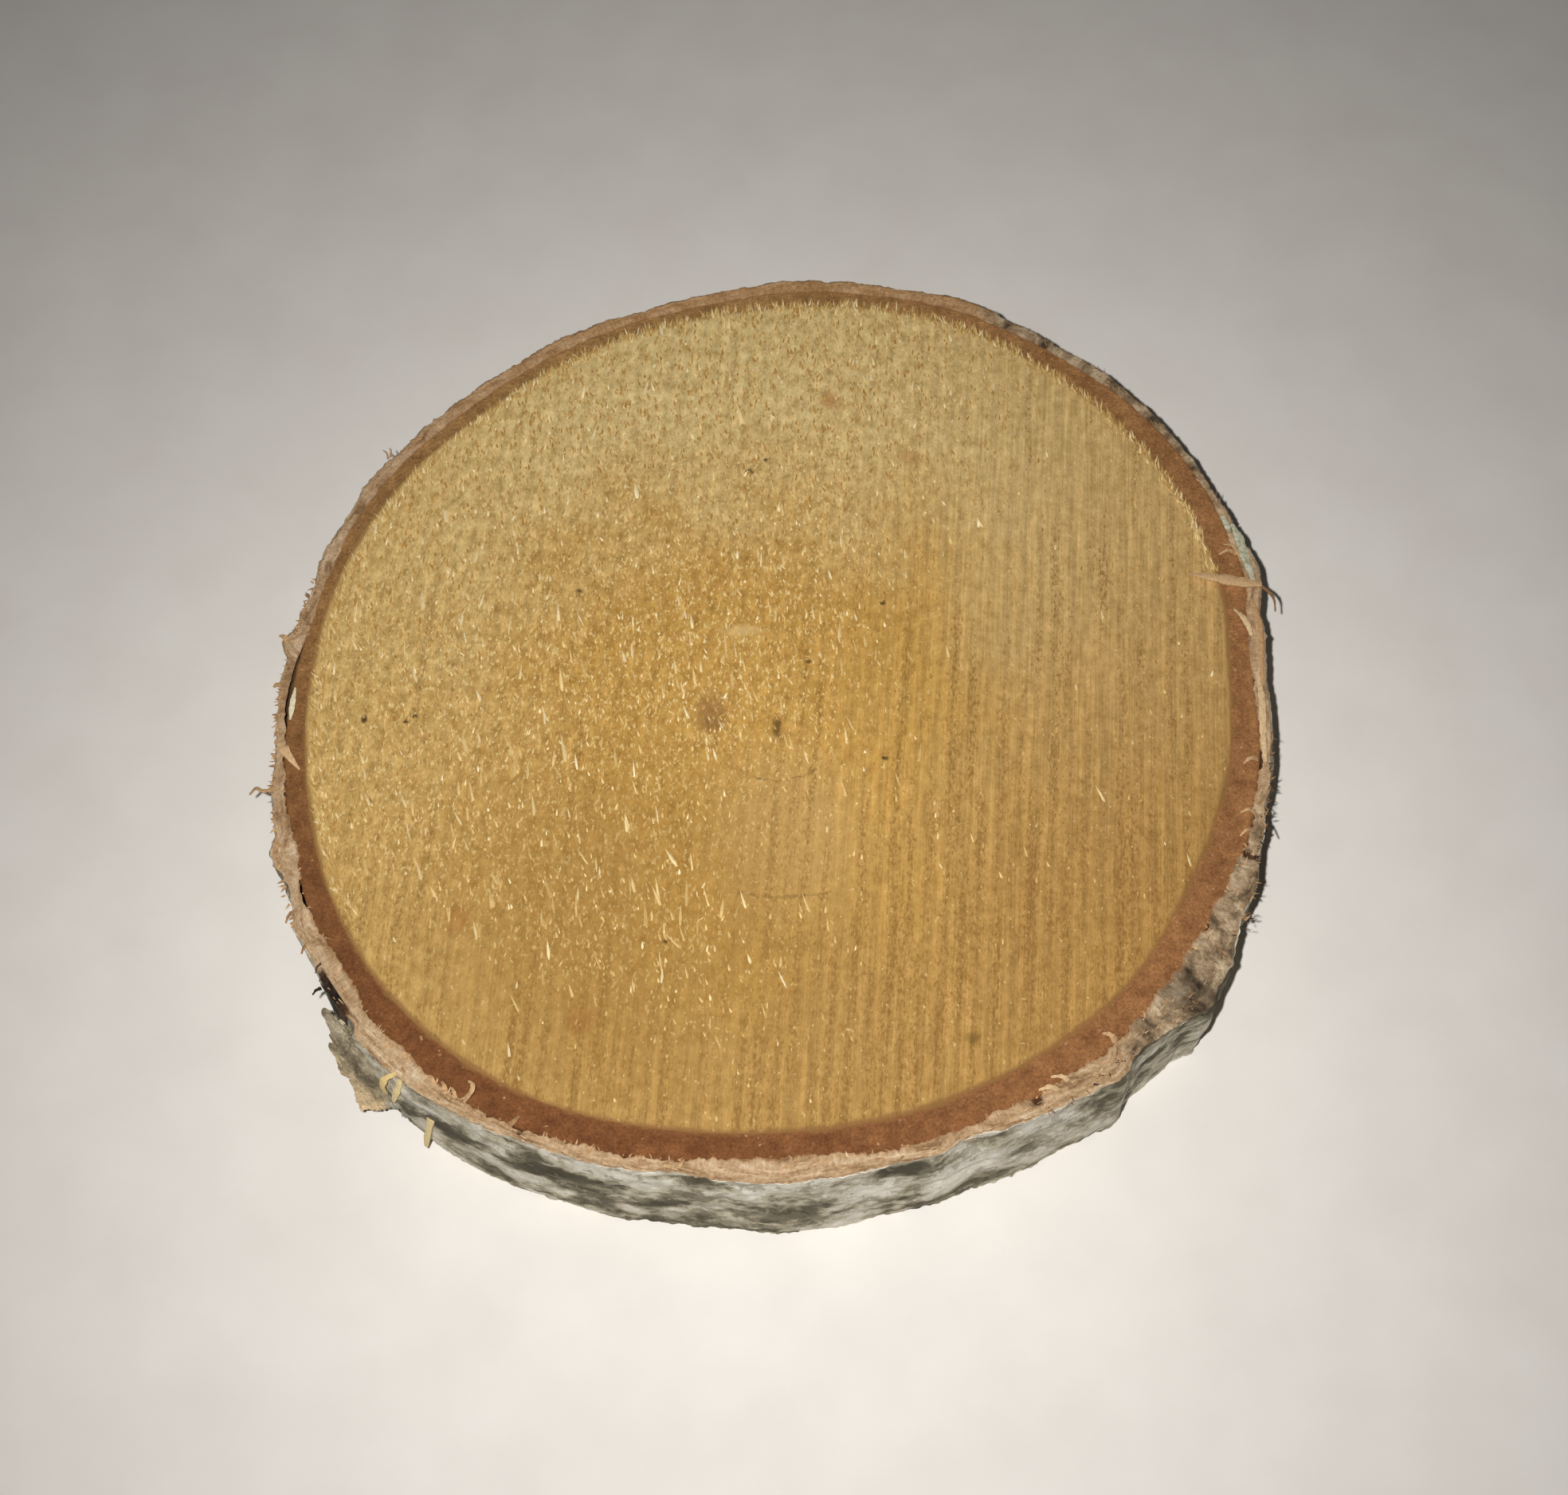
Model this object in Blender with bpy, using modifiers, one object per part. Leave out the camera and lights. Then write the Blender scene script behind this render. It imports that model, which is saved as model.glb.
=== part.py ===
"""A slice sawn across a branch: a flat wood disc, the brown inner bark round it, and a rough outer
bark that has parted from the inner bark on one side and peels away as a flap on another."""

import math

import bpy
from mathutils import Vector, noise

MM = 0.001

# Driving dimensions
THICKNESS = 12.0 * MM
WOOD_LENGTH = 92.5 * MM
WOOD_WIDTH = 87.0 * MM
WOOD_LONG_WAY = math.radians(45)
INNER_BARK_THIN = 1.3 * MM
INNER_BARK_THICK = 3.1 * MM
INNER_BARK_THICK_SIDE = math.radians(300)
OUTER_BARK_THICKNESS = 1.3 * MM
CLEARANCE = 0.3 * MM
STEPS = 216

# The branch was sawn at a slant, so the underside's outline lies this far from the top's
SLANT_X = 0.3 * MM
SLANT_Y = -1.5 * MM

# Where each layer swells out or falls back: the middle, half the width and how far, in degrees and mm
WOOD_SWELLS = (
    (0, 16, -0.5),
    (24, 22, 0.3),
    (66, 20, 0.3),
    (98, 30, -0.8),
    (128, 30, -0.7),
    (190, 32, -0.7),
    (265, 34, -1.1),
    (315, 22, 0.7),
)
INNER_BARK_SWELLS = (
    (4, 14, -0.6),
    (38, 22, 0.5),
    (88, 14, 0.4),
    (170, 22, -0.6),
    (234, 18, 0.4),
    (272, 20, -0.4),
    (338, 12, 0.4),
)
OUTER_BARK_KNOBS = (
    (10, 8, 0.5),
    (30, 16, -0.7),
    (208, 16, 0.4),
    (226, 20, 0.6),
    (305, 10, 0.7),
    (321, 12, 1.6),
    (331, 10, 1.6),
)
KNOB_FOOT_SHARE = 0.45

# The stretch where the outer bark has parted from the inner bark
PARTING_ANGLE = math.radians(180)
PARTING_HALF_WIDTH = math.radians(9)
PARTING_DEPTH = 0.7 * MM

# Relief of the outer bark's skin and of its sawn rim
RIDGE_LENGTH = 7.0 * MM
RIDGE_HEIGHT = 2.4 * MM
RIDGE_DEPTH = 0.45 * MM
GRAIN_LENGTH = 2.5 * MM
GRAIN_DEPTH = 0.16 * MM
BELLY = 0.25 * MM
RIM_PROUD = 0.3 * MM
RIM_ROUNDING = 0.35 * MM
SKIN_ROWS = 8

# The flap of outer bark: it hangs from the rim, its tip is free and its foot stands off the wall
FLAP_ROOT_ANGLE = math.radians(235)
FLAP_FOOT_ROOT_ANGLE = math.radians(229.5)
FLAP_TIP_ANGLE = math.radians(219.2)
FLAP_FOOT_TIP_ANGLE = math.radians(225.5)
FLAP_BOTTOM = 4.2 * MM
FLAP_TOP = 11.7 * MM
FLAP_THICKNESS = 0.8 * MM
FLAP_SUNK = 0.6 * MM
FLAP_TIP_STAND_OFF = 1.0 * MM
FLAP_FOOT_STAND_OFF = 1.9 * MM
FLAP_RIM_CURL = 3.0
FLAP_FOOT_CURL = 0.5
FLAP_COLUMNS = 14
FLAP_ROWS = 8
FLAP_NOTCH_DOWN = 0.62
FLAP_NOTCH_HALF_WIDTH = 0.16
FLAP_NOTCH_ANGLE = math.radians(1.6)

# Colour and roughness of each layer, and the angle from which an edge stays sharp
WOOD_FINISH = ((0.45, 0.29, 0.11), 0.75)
INNER_BARK_FINISH = ((0.23, 0.10, 0.04), 0.9)
OUTER_BARK_FINISH = ((0.36, 0.31, 0.24), 0.9)
SHARP_ANGLE = math.radians(40)

# The blank disc and rings are turned to these radii and then shaped to the outlines
BLANK_WOOD = 45.0 * MM
BLANK_INNER = 40.0 * MM
BLANK_OUTER = 50.0 * MM
MERGE = 0.00001


def clear_scene():
    for obj in list(bpy.data.objects):
        bpy.data.objects.remove(obj, do_unlink=True)


def new_collection(name):
    collection = bpy.data.collections.new(name)
    bpy.context.scene.collection.children.link(collection)
    return collection


def new_material(name, color, roughness):
    material = bpy.data.materials.new(name)
    material.use_nodes = True
    shader = material.node_tree.nodes["Principled BSDF"]
    shader.inputs["Base Color"].default_value = (*color, 1.0)
    shader.inputs["Roughness"].default_value = roughness
    shader.inputs["Metallic"].default_value = 0.0
    return material


def bump(angle, centre, half_width):
    """One at the centre, falling smoothly to nothing at half the width to either side."""
    away = math.remainder(angle - centre, math.tau) / half_width
    return math.cos(away * math.pi / 2) ** 2 if abs(away) < 1 else 0.0


def swells(angle, rows):
    return sum(
        out * MM * bump(angle, math.radians(middle), math.radians(half_width))
        for middle, half_width, out in rows)


def oval(angle):
    """Radius of the wood before its swells: an oval, long one way and narrower across it."""
    along = math.cos(angle - WOOD_LONG_WAY) / (WOOD_LENGTH / 2)
    across = math.sin(angle - WOOD_LONG_WAY) / (WOOD_WIDTH / 2)
    return 1 / math.hypot(along, across)


def wood_edge(angle):
    return oval(angle) + swells(angle, WOOD_SWELLS)


def inner_bark_edge(angle):
    """The inner bark grew thick on one side of the branch and thin on the other."""
    thick_share = 0.5 + 0.5 * math.cos(angle - INNER_BARK_THICK_SIDE)
    thickness = INNER_BARK_THIN + (INNER_BARK_THICK - INNER_BARK_THIN) * thick_share
    return wood_edge(angle) + thickness + swells(angle, INNER_BARK_SWELLS)


def grain(angle, height):
    """Fine roughness, about as long as it is wide."""
    turn = BLANK_WOOD / GRAIN_LENGTH
    spot = Vector((math.cos(angle) * turn, math.sin(angle) * turn, height / GRAIN_LENGTH))
    return GRAIN_DEPTH * noise.noise(spot)


def ridges(angle, height):
    """Ridges of the skin, drawn out round the branch and narrow in height."""
    turn = BLANK_WOOD / RIDGE_LENGTH
    spot = Vector((math.cos(angle) * turn, math.sin(angle) * turn, height / RIDGE_HEIGHT))
    return RIDGE_DEPTH * noise.noise(spot)


def skin_edge(angle, height):
    """Outer face of the bark: knobs are fullest at the top and fade towards the underside."""
    up = height / THICKNESS
    knob_share = KNOB_FOOT_SHARE + (1 - KNOB_FOOT_SHARE) * up
    thickness = OUTER_BARK_THICKNESS + knob_share * swells(angle, OUTER_BARK_KNOBS)
    belly = BELLY * math.sin(math.pi * min(max(up, 0.0), 1.0))
    relief = ridges(angle, height) + grain(angle, height)
    return inner_bark_edge(angle) + thickness + belly + relief


def slanted(angle, radius, height):
    """A point of the slice, moved sideways as the slanting branch passes its height."""
    down = 1 - height / THICKNESS
    x = radius * math.cos(angle) + SLANT_X * down
    y = radius * math.sin(angle) + SLANT_Y * down
    return Vector((x, y, height))


def place_wood(angle, radius, height):
    return slanted(angle, wood_edge(angle) * radius / BLANK_WOOD, height)


def blank_share(radius):
    return (radius - BLANK_INNER) / (BLANK_OUTER - BLANK_INNER)


def place_inner_bark(angle, radius, height):
    inner = wood_edge(angle) + CLEARANCE
    outer = inner_bark_edge(angle)
    return slanted(angle, inner + blank_share(radius) * (outer - inner), height)


def place_outer_bark(angle, radius, height):
    parting = PARTING_DEPTH * bump(angle, PARTING_ANGLE, PARTING_HALF_WIDTH)
    inner = inner_bark_edge(angle) + CLEARANCE + parting
    outer = skin_edge(angle, height)
    proud = RIM_PROUD * max(0.0, -math.sin(angle)) * height / THICKNESS
    return slanted(angle, inner + blank_share(radius) * (outer - inner), height + proud)


def shape_round_blank(mesh, place):
    for vertex in mesh.vertices:
        x, y, height = vertex.co
        vertex.co = place(math.atan2(y, x), math.hypot(x, y), height)
    mesh.update()


def move_to(collection, obj):
    for other in list(obj.users_collection):
        other.objects.unlink(obj)
    collection.objects.link(obj)


def add_wood(collection):
    bpy.ops.mesh.primitive_cylinder_add(
        vertices=STEPS, radius=BLANK_WOOD, depth=THICKNESS, location=(0, 0, THICKNESS / 2))
    obj = bpy.context.object
    bpy.ops.object.transform_apply(location=True)
    obj.name = "wood"
    obj.data.name = "wood"
    shape_round_blank(obj.data, place_wood)
    move_to(collection, obj)
    return obj


def turn_profile(name, profile, collection):
    """Turn a closed profile of (radius, height) points once round the Z axis into a ring."""
    points = [(radius, 0, height) for radius, height in profile]
    edges = [(i, (i + 1) % len(points)) for i in range(len(points))]
    mesh = bpy.data.meshes.new(name)
    mesh.from_pydata(points, edges, [])
    obj = bpy.data.objects.new(name, mesh)
    collection.objects.link(obj)
    screw = obj.modifiers.new("turn", "SCREW")
    screw.axis = "Z"
    screw.steps = STEPS
    screw.render_steps = STEPS
    screw.use_merge_vertices = True
    screw.merge_threshold = MERGE
    graph = bpy.context.evaluated_depsgraph_get()
    ring = bpy.data.meshes.new_from_object(obj.evaluated_get(graph))
    ring.name = name
    obj.modifiers.clear()
    obj.data = ring
    bpy.data.meshes.remove(mesh)
    return obj


def add_inner_bark(collection):
    profile = [
        (BLANK_OUTER, THICKNESS),
        (BLANK_OUTER, 0),
        (BLANK_INNER, 0),
        (BLANK_INNER, THICKNESS),
    ]
    obj = turn_profile("inner_bark", profile, collection)
    shape_round_blank(obj.data, place_inner_bark)
    return obj


def add_outer_bark(collection):
    rounded = BLANK_OUTER - RIM_ROUNDING * (BLANK_OUTER - BLANK_INNER) / OUTER_BARK_THICKNESS
    top_row = THICKNESS - RIM_ROUNDING
    profile = [(rounded, THICKNESS)]
    for row in range(SKIN_ROWS + 1):
        profile.append((BLANK_OUTER, top_row * (1 - row / SKIN_ROWS)))
    profile += [(BLANK_INNER, 0), (BLANK_INNER, THICKNESS)]
    obj = turn_profile("outer_bark", profile, collection)
    shape_round_blank(obj.data, place_outer_bark)
    return obj


def place_flap(along, down):
    """A point of the flap: along runs from its root to its free tip, down from the rim to its foot."""
    notch = max(0.0, 1 - abs(down - FLAP_NOTCH_DOWN) / FLAP_NOTCH_HALF_WIDTH)
    root = FLAP_ROOT_ANGLE + (FLAP_FOOT_ROOT_ANGLE - FLAP_ROOT_ANGLE) * down
    tip = FLAP_TIP_ANGLE + (FLAP_FOOT_TIP_ANGLE - FLAP_TIP_ANGLE) * down
    tip += FLAP_NOTCH_ANGLE * notch
    angle = root + (tip - root) * along
    height = FLAP_TOP + (FLAP_BOTTOM - FLAP_TOP) * down
    rim_stand_off = -FLAP_SUNK + (FLAP_TIP_STAND_OFF + FLAP_SUNK) * along ** FLAP_RIM_CURL
    foot_stand_off = FLAP_FOOT_STAND_OFF * along ** FLAP_FOOT_CURL
    stand_off = rim_stand_off + (foot_stand_off - rim_stand_off) * down
    wall = skin_edge(angle, height) - ridges(angle, height)
    return slanted(angle, wall + stand_off, height)


def add_flap(collection):
    bpy.ops.mesh.primitive_grid_add(
        x_subdivisions=FLAP_COLUMNS, y_subdivisions=FLAP_ROWS, size=1, location=(0, 0, 0))
    obj = bpy.context.object
    obj.name = "flap"
    for vertex in obj.data.vertices:
        vertex.co = place_flap(vertex.co.x + 0.5, 0.5 - vertex.co.y)
    obj.data.update()
    move_to(collection, obj)
    solidify = obj.modifiers.new("bark thickness", "SOLIDIFY")
    solidify.thickness = FLAP_THICKNESS
    solidify.offset = 0
    obj.hide_render = True
    obj.display_type = "WIRE"
    return obj


def join_flap(bark, flap):
    union = bark.modifiers.new("flap", "BOOLEAN")
    union.operation = "UNION"
    union.solver = "EXACT"
    union.object = flap


def finish(obj, color, roughness):
    obj.data.materials.append(new_material(obj.name, color, roughness))
    obj.data.shade_smooth()
    obj.data.set_sharp_from_angle(angle=SHARP_ANGLE)


def main():
    clear_scene()
    collection = new_collection("wood_slice")
    guides = new_collection("guides")
    wood = add_wood(collection)
    inner_bark = add_inner_bark(collection)
    outer_bark = add_outer_bark(collection)
    join_flap(outer_bark, add_flap(guides))
    finish(wood, *WOOD_FINISH)
    finish(inner_bark, *INNER_BARK_FINISH)
    finish(outer_bark, *OUTER_BARK_FINISH)


main()
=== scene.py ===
import math

import bpy
import numpy as np
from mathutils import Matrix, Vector, noise
from mathutils.bvhtree import BVHTree


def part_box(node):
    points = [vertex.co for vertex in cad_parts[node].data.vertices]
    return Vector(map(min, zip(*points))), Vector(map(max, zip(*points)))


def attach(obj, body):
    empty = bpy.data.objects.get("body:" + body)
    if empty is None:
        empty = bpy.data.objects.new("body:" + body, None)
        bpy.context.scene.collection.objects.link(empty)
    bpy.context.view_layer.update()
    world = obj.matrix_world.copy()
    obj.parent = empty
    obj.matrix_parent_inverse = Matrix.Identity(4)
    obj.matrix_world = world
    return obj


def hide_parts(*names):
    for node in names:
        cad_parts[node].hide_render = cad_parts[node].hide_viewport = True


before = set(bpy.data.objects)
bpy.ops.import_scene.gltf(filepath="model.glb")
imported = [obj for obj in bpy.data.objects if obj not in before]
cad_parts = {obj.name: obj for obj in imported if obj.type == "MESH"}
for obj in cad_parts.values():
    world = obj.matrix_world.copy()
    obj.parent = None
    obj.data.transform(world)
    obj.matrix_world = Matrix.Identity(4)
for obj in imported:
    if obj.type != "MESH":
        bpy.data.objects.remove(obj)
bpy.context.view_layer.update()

# Camera
# A phone held 22 cm from the slice and tilted 25 degrees from straight down. The saw marks of the
# real slice converge as such a camera shows them.
MM = 0.001
CAMERA_PLACE = Vector((1.386, -98.90, 210.48)) * MM

bpy.ops.object.select_all(action="DESELECT")
bpy.ops.object.camera_add(location=CAMERA_PLACE, rotation=(math.radians(25), 0, 0))
camera = bpy.context.object
camera.name = "camera"
camera.data.lens = 53.05
camera.data.sensor_width = 36
camera.data.clip_start = 10 * MM
bpy.context.scene.camera = camera
bpy.context.scene.view_settings.view_transform = "Standard"

# Light
# A small soft lamp left of the lens and a little above it, like a phone's, so that shadows are only
# a thin line to the right of the slice. A weak even light fills them, and a wide dim panel stands
# behind.
LAMP_PLACE = CAMERA_PLACE + Vector((-11.5, 4.2, 2.0)) * MM
LAMP_AIM = Vector((4, -11, 0)) * MM
PANEL_PLACE = Vector((-60, 420, 300)) * MM


def linear(hex_code):
    """A colour written as an sRGB hex code, as the linear values that Blender works in."""
    parts = [int(hex_code[i:i + 2], 16) / 255 for i in (0, 2, 4)]
    return [p / 12.92 if p <= 0.04045 else ((p + 0.055) / 1.055) ** 2.4 for p in parts] + [1.0]


def add_lamp(name, place, aim, shape, size, watts, spread):
    bpy.ops.object.light_add(type="AREA", location=place)
    lamp = bpy.context.object
    lamp.name = name
    lamp.rotation_euler = (aim - place).to_track_quat("-Z", "Y").to_euler()
    lamp.data.shape = shape
    lamp.data.size = size
    lamp.data.energy = watts
    lamp.data.spread = math.radians(spread)
    return lamp


lamp = add_lamp("lamp", LAMP_PLACE, LAMP_AIM, "DISK", 4 * MM, 0.147, 100)
panel = add_lamp("panel", PANEL_PLACE, Vector((0, 0, 0)), "SQUARE", 350 * MM, 0.05, 180)
room = bpy.data.worlds.new("room")
room.use_nodes = True
bpy.context.scene.world = room
room.node_tree.nodes["Background"].inputs["Color"].default_value = linear("f4f1ec")
room.node_tree.nodes["Background"].inputs["Strength"].default_value = 0.03


# Floor
# A plain pale tabletop, matt painted board. It isn't part of the object.
def find_socket(sockets, name):
    for wanted in (name, name.replace("_", " ")):
        for socket in sockets:
            if wanted in (socket.identifier, socket.name):
                return socket
    raise KeyError(name)


def add_node(tree, kind, out=None, ramp=None, **settings):
    """Adds a node. A capitalised setting is a socket's value, or a link where it is itself a socket,
    and any other is a property. It returns the output that is asked for, or else the first."""
    node = tree.nodes.new("ShaderNode" + kind)
    for name in sorted(settings, key=lambda name: name[0].isupper()):
        value = settings[name]
        if not name[0].isupper():
            setattr(node, name, value)
        elif isinstance(value, bpy.types.NodeSocket):
            tree.links.new(value, find_socket(node.inputs, name))
        else:
            find_socket(node.inputs, name).default_value = value
    if ramp:
        while len(node.color_ramp.elements) < len(ramp):
            node.color_ramp.elements.new(0.5)
        for element, (position, hex_code) in zip(node.color_ramp.elements, ramp):
            element.position = position
        for element, (position, hex_code) in zip(node.color_ramp.elements, ramp):
            element.color = linear(hex_code)
    if out:
        return find_socket(node.outputs, out)
    return next((socket for socket in node.outputs if socket.enabled), None)


def new_material(name):
    material = bpy.data.materials.new(name)
    material.use_nodes = True
    material.node_tree.nodes.clear()
    return material, material.node_tree


# Satin paint: nearly white and a little warm, with a faint unevenness some millimetres wide.
floor_paint, tree = new_material("matt_painted_board")
place = add_node(tree, "TexCoord", out="Object")
mottle = add_node(tree, "TexNoise", Vector=place, Scale=1 / (9 * MM), Detail=4.0)
shade = add_node(tree, "ValToRGB", Fac=mottle, ramp=((0.3, "efe8df"), (0.7, "f5efe6")))
grit = add_node(tree, "TexNoise", Vector=place, Scale=1 / (0.8 * MM), Detail=2.0)
uneven = add_node(tree, "Bump", Height=grit, Strength=0.05, Distance=0.1 * MM)
surface = add_node(tree, "BsdfPrincipled", Base_Color=shade, Roughness=0.7, Normal=uneven)
add_node(tree, "OutputMaterial", Surface=surface)

bpy.ops.mesh.primitive_plane_add(size=3.0, location=(0, 0, 0))
floor = bpy.context.object
floor.name = "floor"
floor.data.materials.append(floor_paint)


# Wood disc
# A branch of birch sawn across, so both faces show the ends of its fibres: rows of saw marks, torn
# fibres where the blade came in, and a small pith. It is one piece, as it grew.
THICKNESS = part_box("wood")[1].z
SAW_TURN = math.radians(4)
SAW_PITCH = 1.7 * MM
COLUMNS = 372
ROWS = 150


def get_points(obj):
    points = np.empty(len(obj.data.vertices) * 3)
    obj.data.vertices.foreach_get("co", points)
    return points.reshape(-1, 3)


def set_points(obj, points):
    obj.data.vertices.foreach_set("co", points.ravel())
    obj.data.update()


def polar(points):
    return np.arctan2(points[:, 1], points[:, 0]), np.hypot(points[:, 0], points[:, 1])


def outline(node, height):
    """Angles and radii of the wood's edge in the CAD model, at one height."""
    points = get_points(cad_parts[node])
    angle, radius = polar(points)
    ring = (abs(points[:, 2] - height) < 0.01 * MM) & (radius > 30 * MM)
    order = np.argsort(angle[ring])
    return angle[ring][order], radius[ring][order]


wood_top = outline("wood", THICKNESS)
wood_foot = outline("wood", 0.0)


def wood_edge(angle, height):
    share = np.clip(height / THICKNESS, 0, 1)
    top = np.interp(angle, *wood_top, period=math.tau)
    foot = np.interp(angle, *wood_foot, period=math.tau)
    return foot + (top - foot) * share


def smooth_step(value, low, high):
    share = np.clip((value - low) / (high - low), 0, 1)
    return share * share * (3 - 2 * share)


def grain_noise(x, y, z, size_x, size_y, size_z, seed):
    """Perlin noise at every point, with features of the given size along each axis."""
    spots = zip(x / size_x + seed, y / size_y, z / size_z)
    return np.array([noise.noise(spot) for spot in spots])


def torn_share(x, y):
    """How far the saw tore the fibres: fully at the left, hardly at all at the lower right."""
    left = (-0.939 * x + 0.344 * y) / MM + 4.7
    low = (-0.497 * x - 0.867 * y) / MM
    return smooth_step(left, -14.0, 10.0) * (1 - 0.85 * smooth_step(low, 31.0, 39.0))


def burnished_share(x, y):
    """Below the pith the blade rubbed the wood smooth instead of tearing it."""
    far = np.hypot((x / MM - 1.5) / 7.5, (y / MM + 15.5) / 9.5)
    return 1 - smooth_step(far, 0.35, 1.35)


def sawn_relief(x, y, seed):
    """Height of the sawn face above its plane: saw marks, fine lines and torn fibres."""
    across = x * math.cos(SAW_TURN) - y * math.sin(SAW_TURN)
    along = x * math.sin(SAW_TURN) + y * math.cos(SAW_TURN)
    flat = np.zeros(len(x))
    wander = grain_noise(across, along, flat, 9 * MM, 40 * MM, MM, seed)
    marks = 0.022 * np.sin(math.tau * across / SAW_PITCH + 5 * wander)
    lines = 0.045 * grain_noise(across, along, flat, 0.6 * MM, 14 * MM, MM, seed + 3)
    torn = 0.16 * grain_noise(across, along, flat, 0.55 * MM, 1.7 * MM, MM, seed + 7)
    roughness = torn_share(x, y) * (1 - burnished_share(x, y))
    return (marks + lines + torn * roughness) * MM


def paint(obj, name, values):
    """Stores a number, or a place, at each point of a mesh, for its material to read."""
    values = np.asarray(values, dtype=np.float32)
    kind, field = ("FLOAT", "value") if values.ndim == 1 else ("FLOAT_VECTOR", "vector")
    layer = obj.data.attributes.new(name, kind, "POINT")
    layer.data.foreach_set(field, values.ravel())


def delete_faces(obj, chosen):
    bpy.context.tool_settings.mesh_select_mode = (False, False, True)
    obj.data.vertices.foreach_set("select", np.zeros(len(obj.data.vertices), dtype=bool))
    obj.data.edges.foreach_set("select", np.zeros(len(obj.data.edges), dtype=bool))
    obj.data.polygons.foreach_set("select", chosen)
    bpy.ops.object.mode_set(mode="EDIT")
    bpy.ops.mesh.delete(type="FACE")
    bpy.ops.object.mode_set(mode="OBJECT")


def finish_piece(obj, name, material, sharp=50):
    obj.name = name
    obj.data.name = name
    obj.data.materials.clear()
    obj.data.materials.append(material)
    bpy.ops.object.select_all(action="DESELECT")
    obj.select_set(True)
    bpy.context.view_layer.objects.active = obj
    bpy.ops.object.shade_smooth_by_angle(angle=math.radians(sharp))
    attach(obj, "root")


def add_solidify(obj, thickness, offset):
    shell = obj.modifiers.new("thickness", "SOLIDIFY")
    shell.thickness = thickness
    shell.offset = offset
    bpy.context.view_layer.objects.active = obj
    bpy.ops.object.modifier_apply(modifier=shell.name)


bpy.ops.object.select_all(action="DESELECT")
bpy.ops.mesh.primitive_grid_add(
    x_subdivisions=COLUMNS, y_subdivisions=ROWS, size=97 * MM,
    location=(0, 0, THICKNESS), rotation=(0, 0, -SAW_TURN))
disc = bpy.context.object
bpy.ops.object.transform_apply(location=True, rotation=True, scale=True)
points = get_points(disc)
angle, radius = polar(points)
beyond = radius > wood_edge(angle, THICKNESS)
corners = np.empty(len(disc.data.polygons) * 4, dtype=np.int32)
disc.data.polygons.foreach_get("vertices", corners)
delete_faces(disc, beyond[corners.reshape(-1, 4)].all(axis=1))
points = get_points(disc)
angle, radius = polar(points)
fitted = np.minimum(1.0, wood_edge(angle, THICKNESS) / np.maximum(radius, MM))
points[:, :2] *= fitted[:, None]
set_points(disc, points)
add_solidify(disc, THICKNESS, -1.0)
points = get_points(disc)
angle, radius = polar(points)
is_top = points[:, 2] > THICKNESS / 2
rim_gap = wood_edge(angle, THICKNESS) - radius
foot_scale = np.where(is_top, 1.0, wood_edge(angle, 0.0) / wood_edge(angle, THICKNESS))
points[:, :2] *= foot_scale[:, None]
x, y = points[:, 0], points[:, 1]
top_relief = sawn_relief(x, y, 0.0)
foot_relief = sawn_relief(-x, y, 40.0)
edge_fade = smooth_step(rim_gap, 0.0, 0.6 * MM)
points[:, 2] = np.where(is_top, THICKNESS + top_relief * edge_fade, abs(foot_relief) * edge_fade)
set_points(disc, points)
paint(disc, "rim_gap", rim_gap / MM)
paint(disc, "torn", np.where(is_top, torn_share(x, y), torn_share(-x, y)))
paint(disc, "burnished", np.where(is_top, burnished_share(x, y), 0))

# Birch end grain, sawn and left raw: golden brown heartwood round the pith, paler and greener
# sapwood outside it, dull all over, with dark pores and bright torn fibre ends.
PITH_SPOTS = (
    # x, y, half width, half height in mm, colour, strength: the pith and a brown knot beside it
    (0.7, -4.3, 0.6, 1.6, "5f431d", 0.85),
    (-5.6, -2.6, 1.9, 2.7, "7a5238", 0.50),
    (-5.4, -3.9, 1.4, 1.1, "6a4226", 0.40),
    (-2.6, 6.2, 2.6, 0.8, "e3c284", 0.55),
    # stains
    (-12.0, -22.0, 24.0, 20.0, "9c7434", 0.50),
    (6.1, 32.7, 1.3, 1.4, "b06a34", 0.55),
    (14.1, 26.0, 1.6, 1.1, "b5783e", 0.35),
    (18.4, -35.1, 0.8, 0.8, "604916", 0.60),
    (-28.5, -23.8, 1.5, 2.0, "a05a28", 0.32),
    (-16.8, -33.4, 2.0, 1.6, "96562a", 0.30),
    (23.0, -16.0, 1.0, 1.7, "8a6a2c", 0.30),
    # pores
    (-2.1, 24.2, 0.45, 0.40, "33260e", 0.90),
    (-0.5, 25.5, 0.32, 0.36, "33260e", 0.85),
    (11.0, 9.2, 0.36, 0.36, "33260e", 0.85),
    (3.8, 2.8, 0.32, 0.32, "33260e", 0.75),
    (10.9, -7.5, 0.36, 0.36, "33260e", 0.85),
    (-18.6, 10.6, 0.36, 0.36, "33260e", 0.75),
    (-38.6, -3.4, 0.45, 0.50, "33260e", 0.90),
    (-34.6, -3.6, 0.38, 0.38, "33260e", 0.90),
    (-33.8, -3.0, 0.32, 0.32, "33260e", 0.85),
    (-9.4, -25.8, 0.50, 0.32, "3b2812", 0.80),
)
# x, y, radius in mm, half width in degrees: faint traces of two year rings below the pith
RING_ARCS = ((0.8, -3.6, 6.2, 47), (1.2, -2.6, 18.9, 14))

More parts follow.
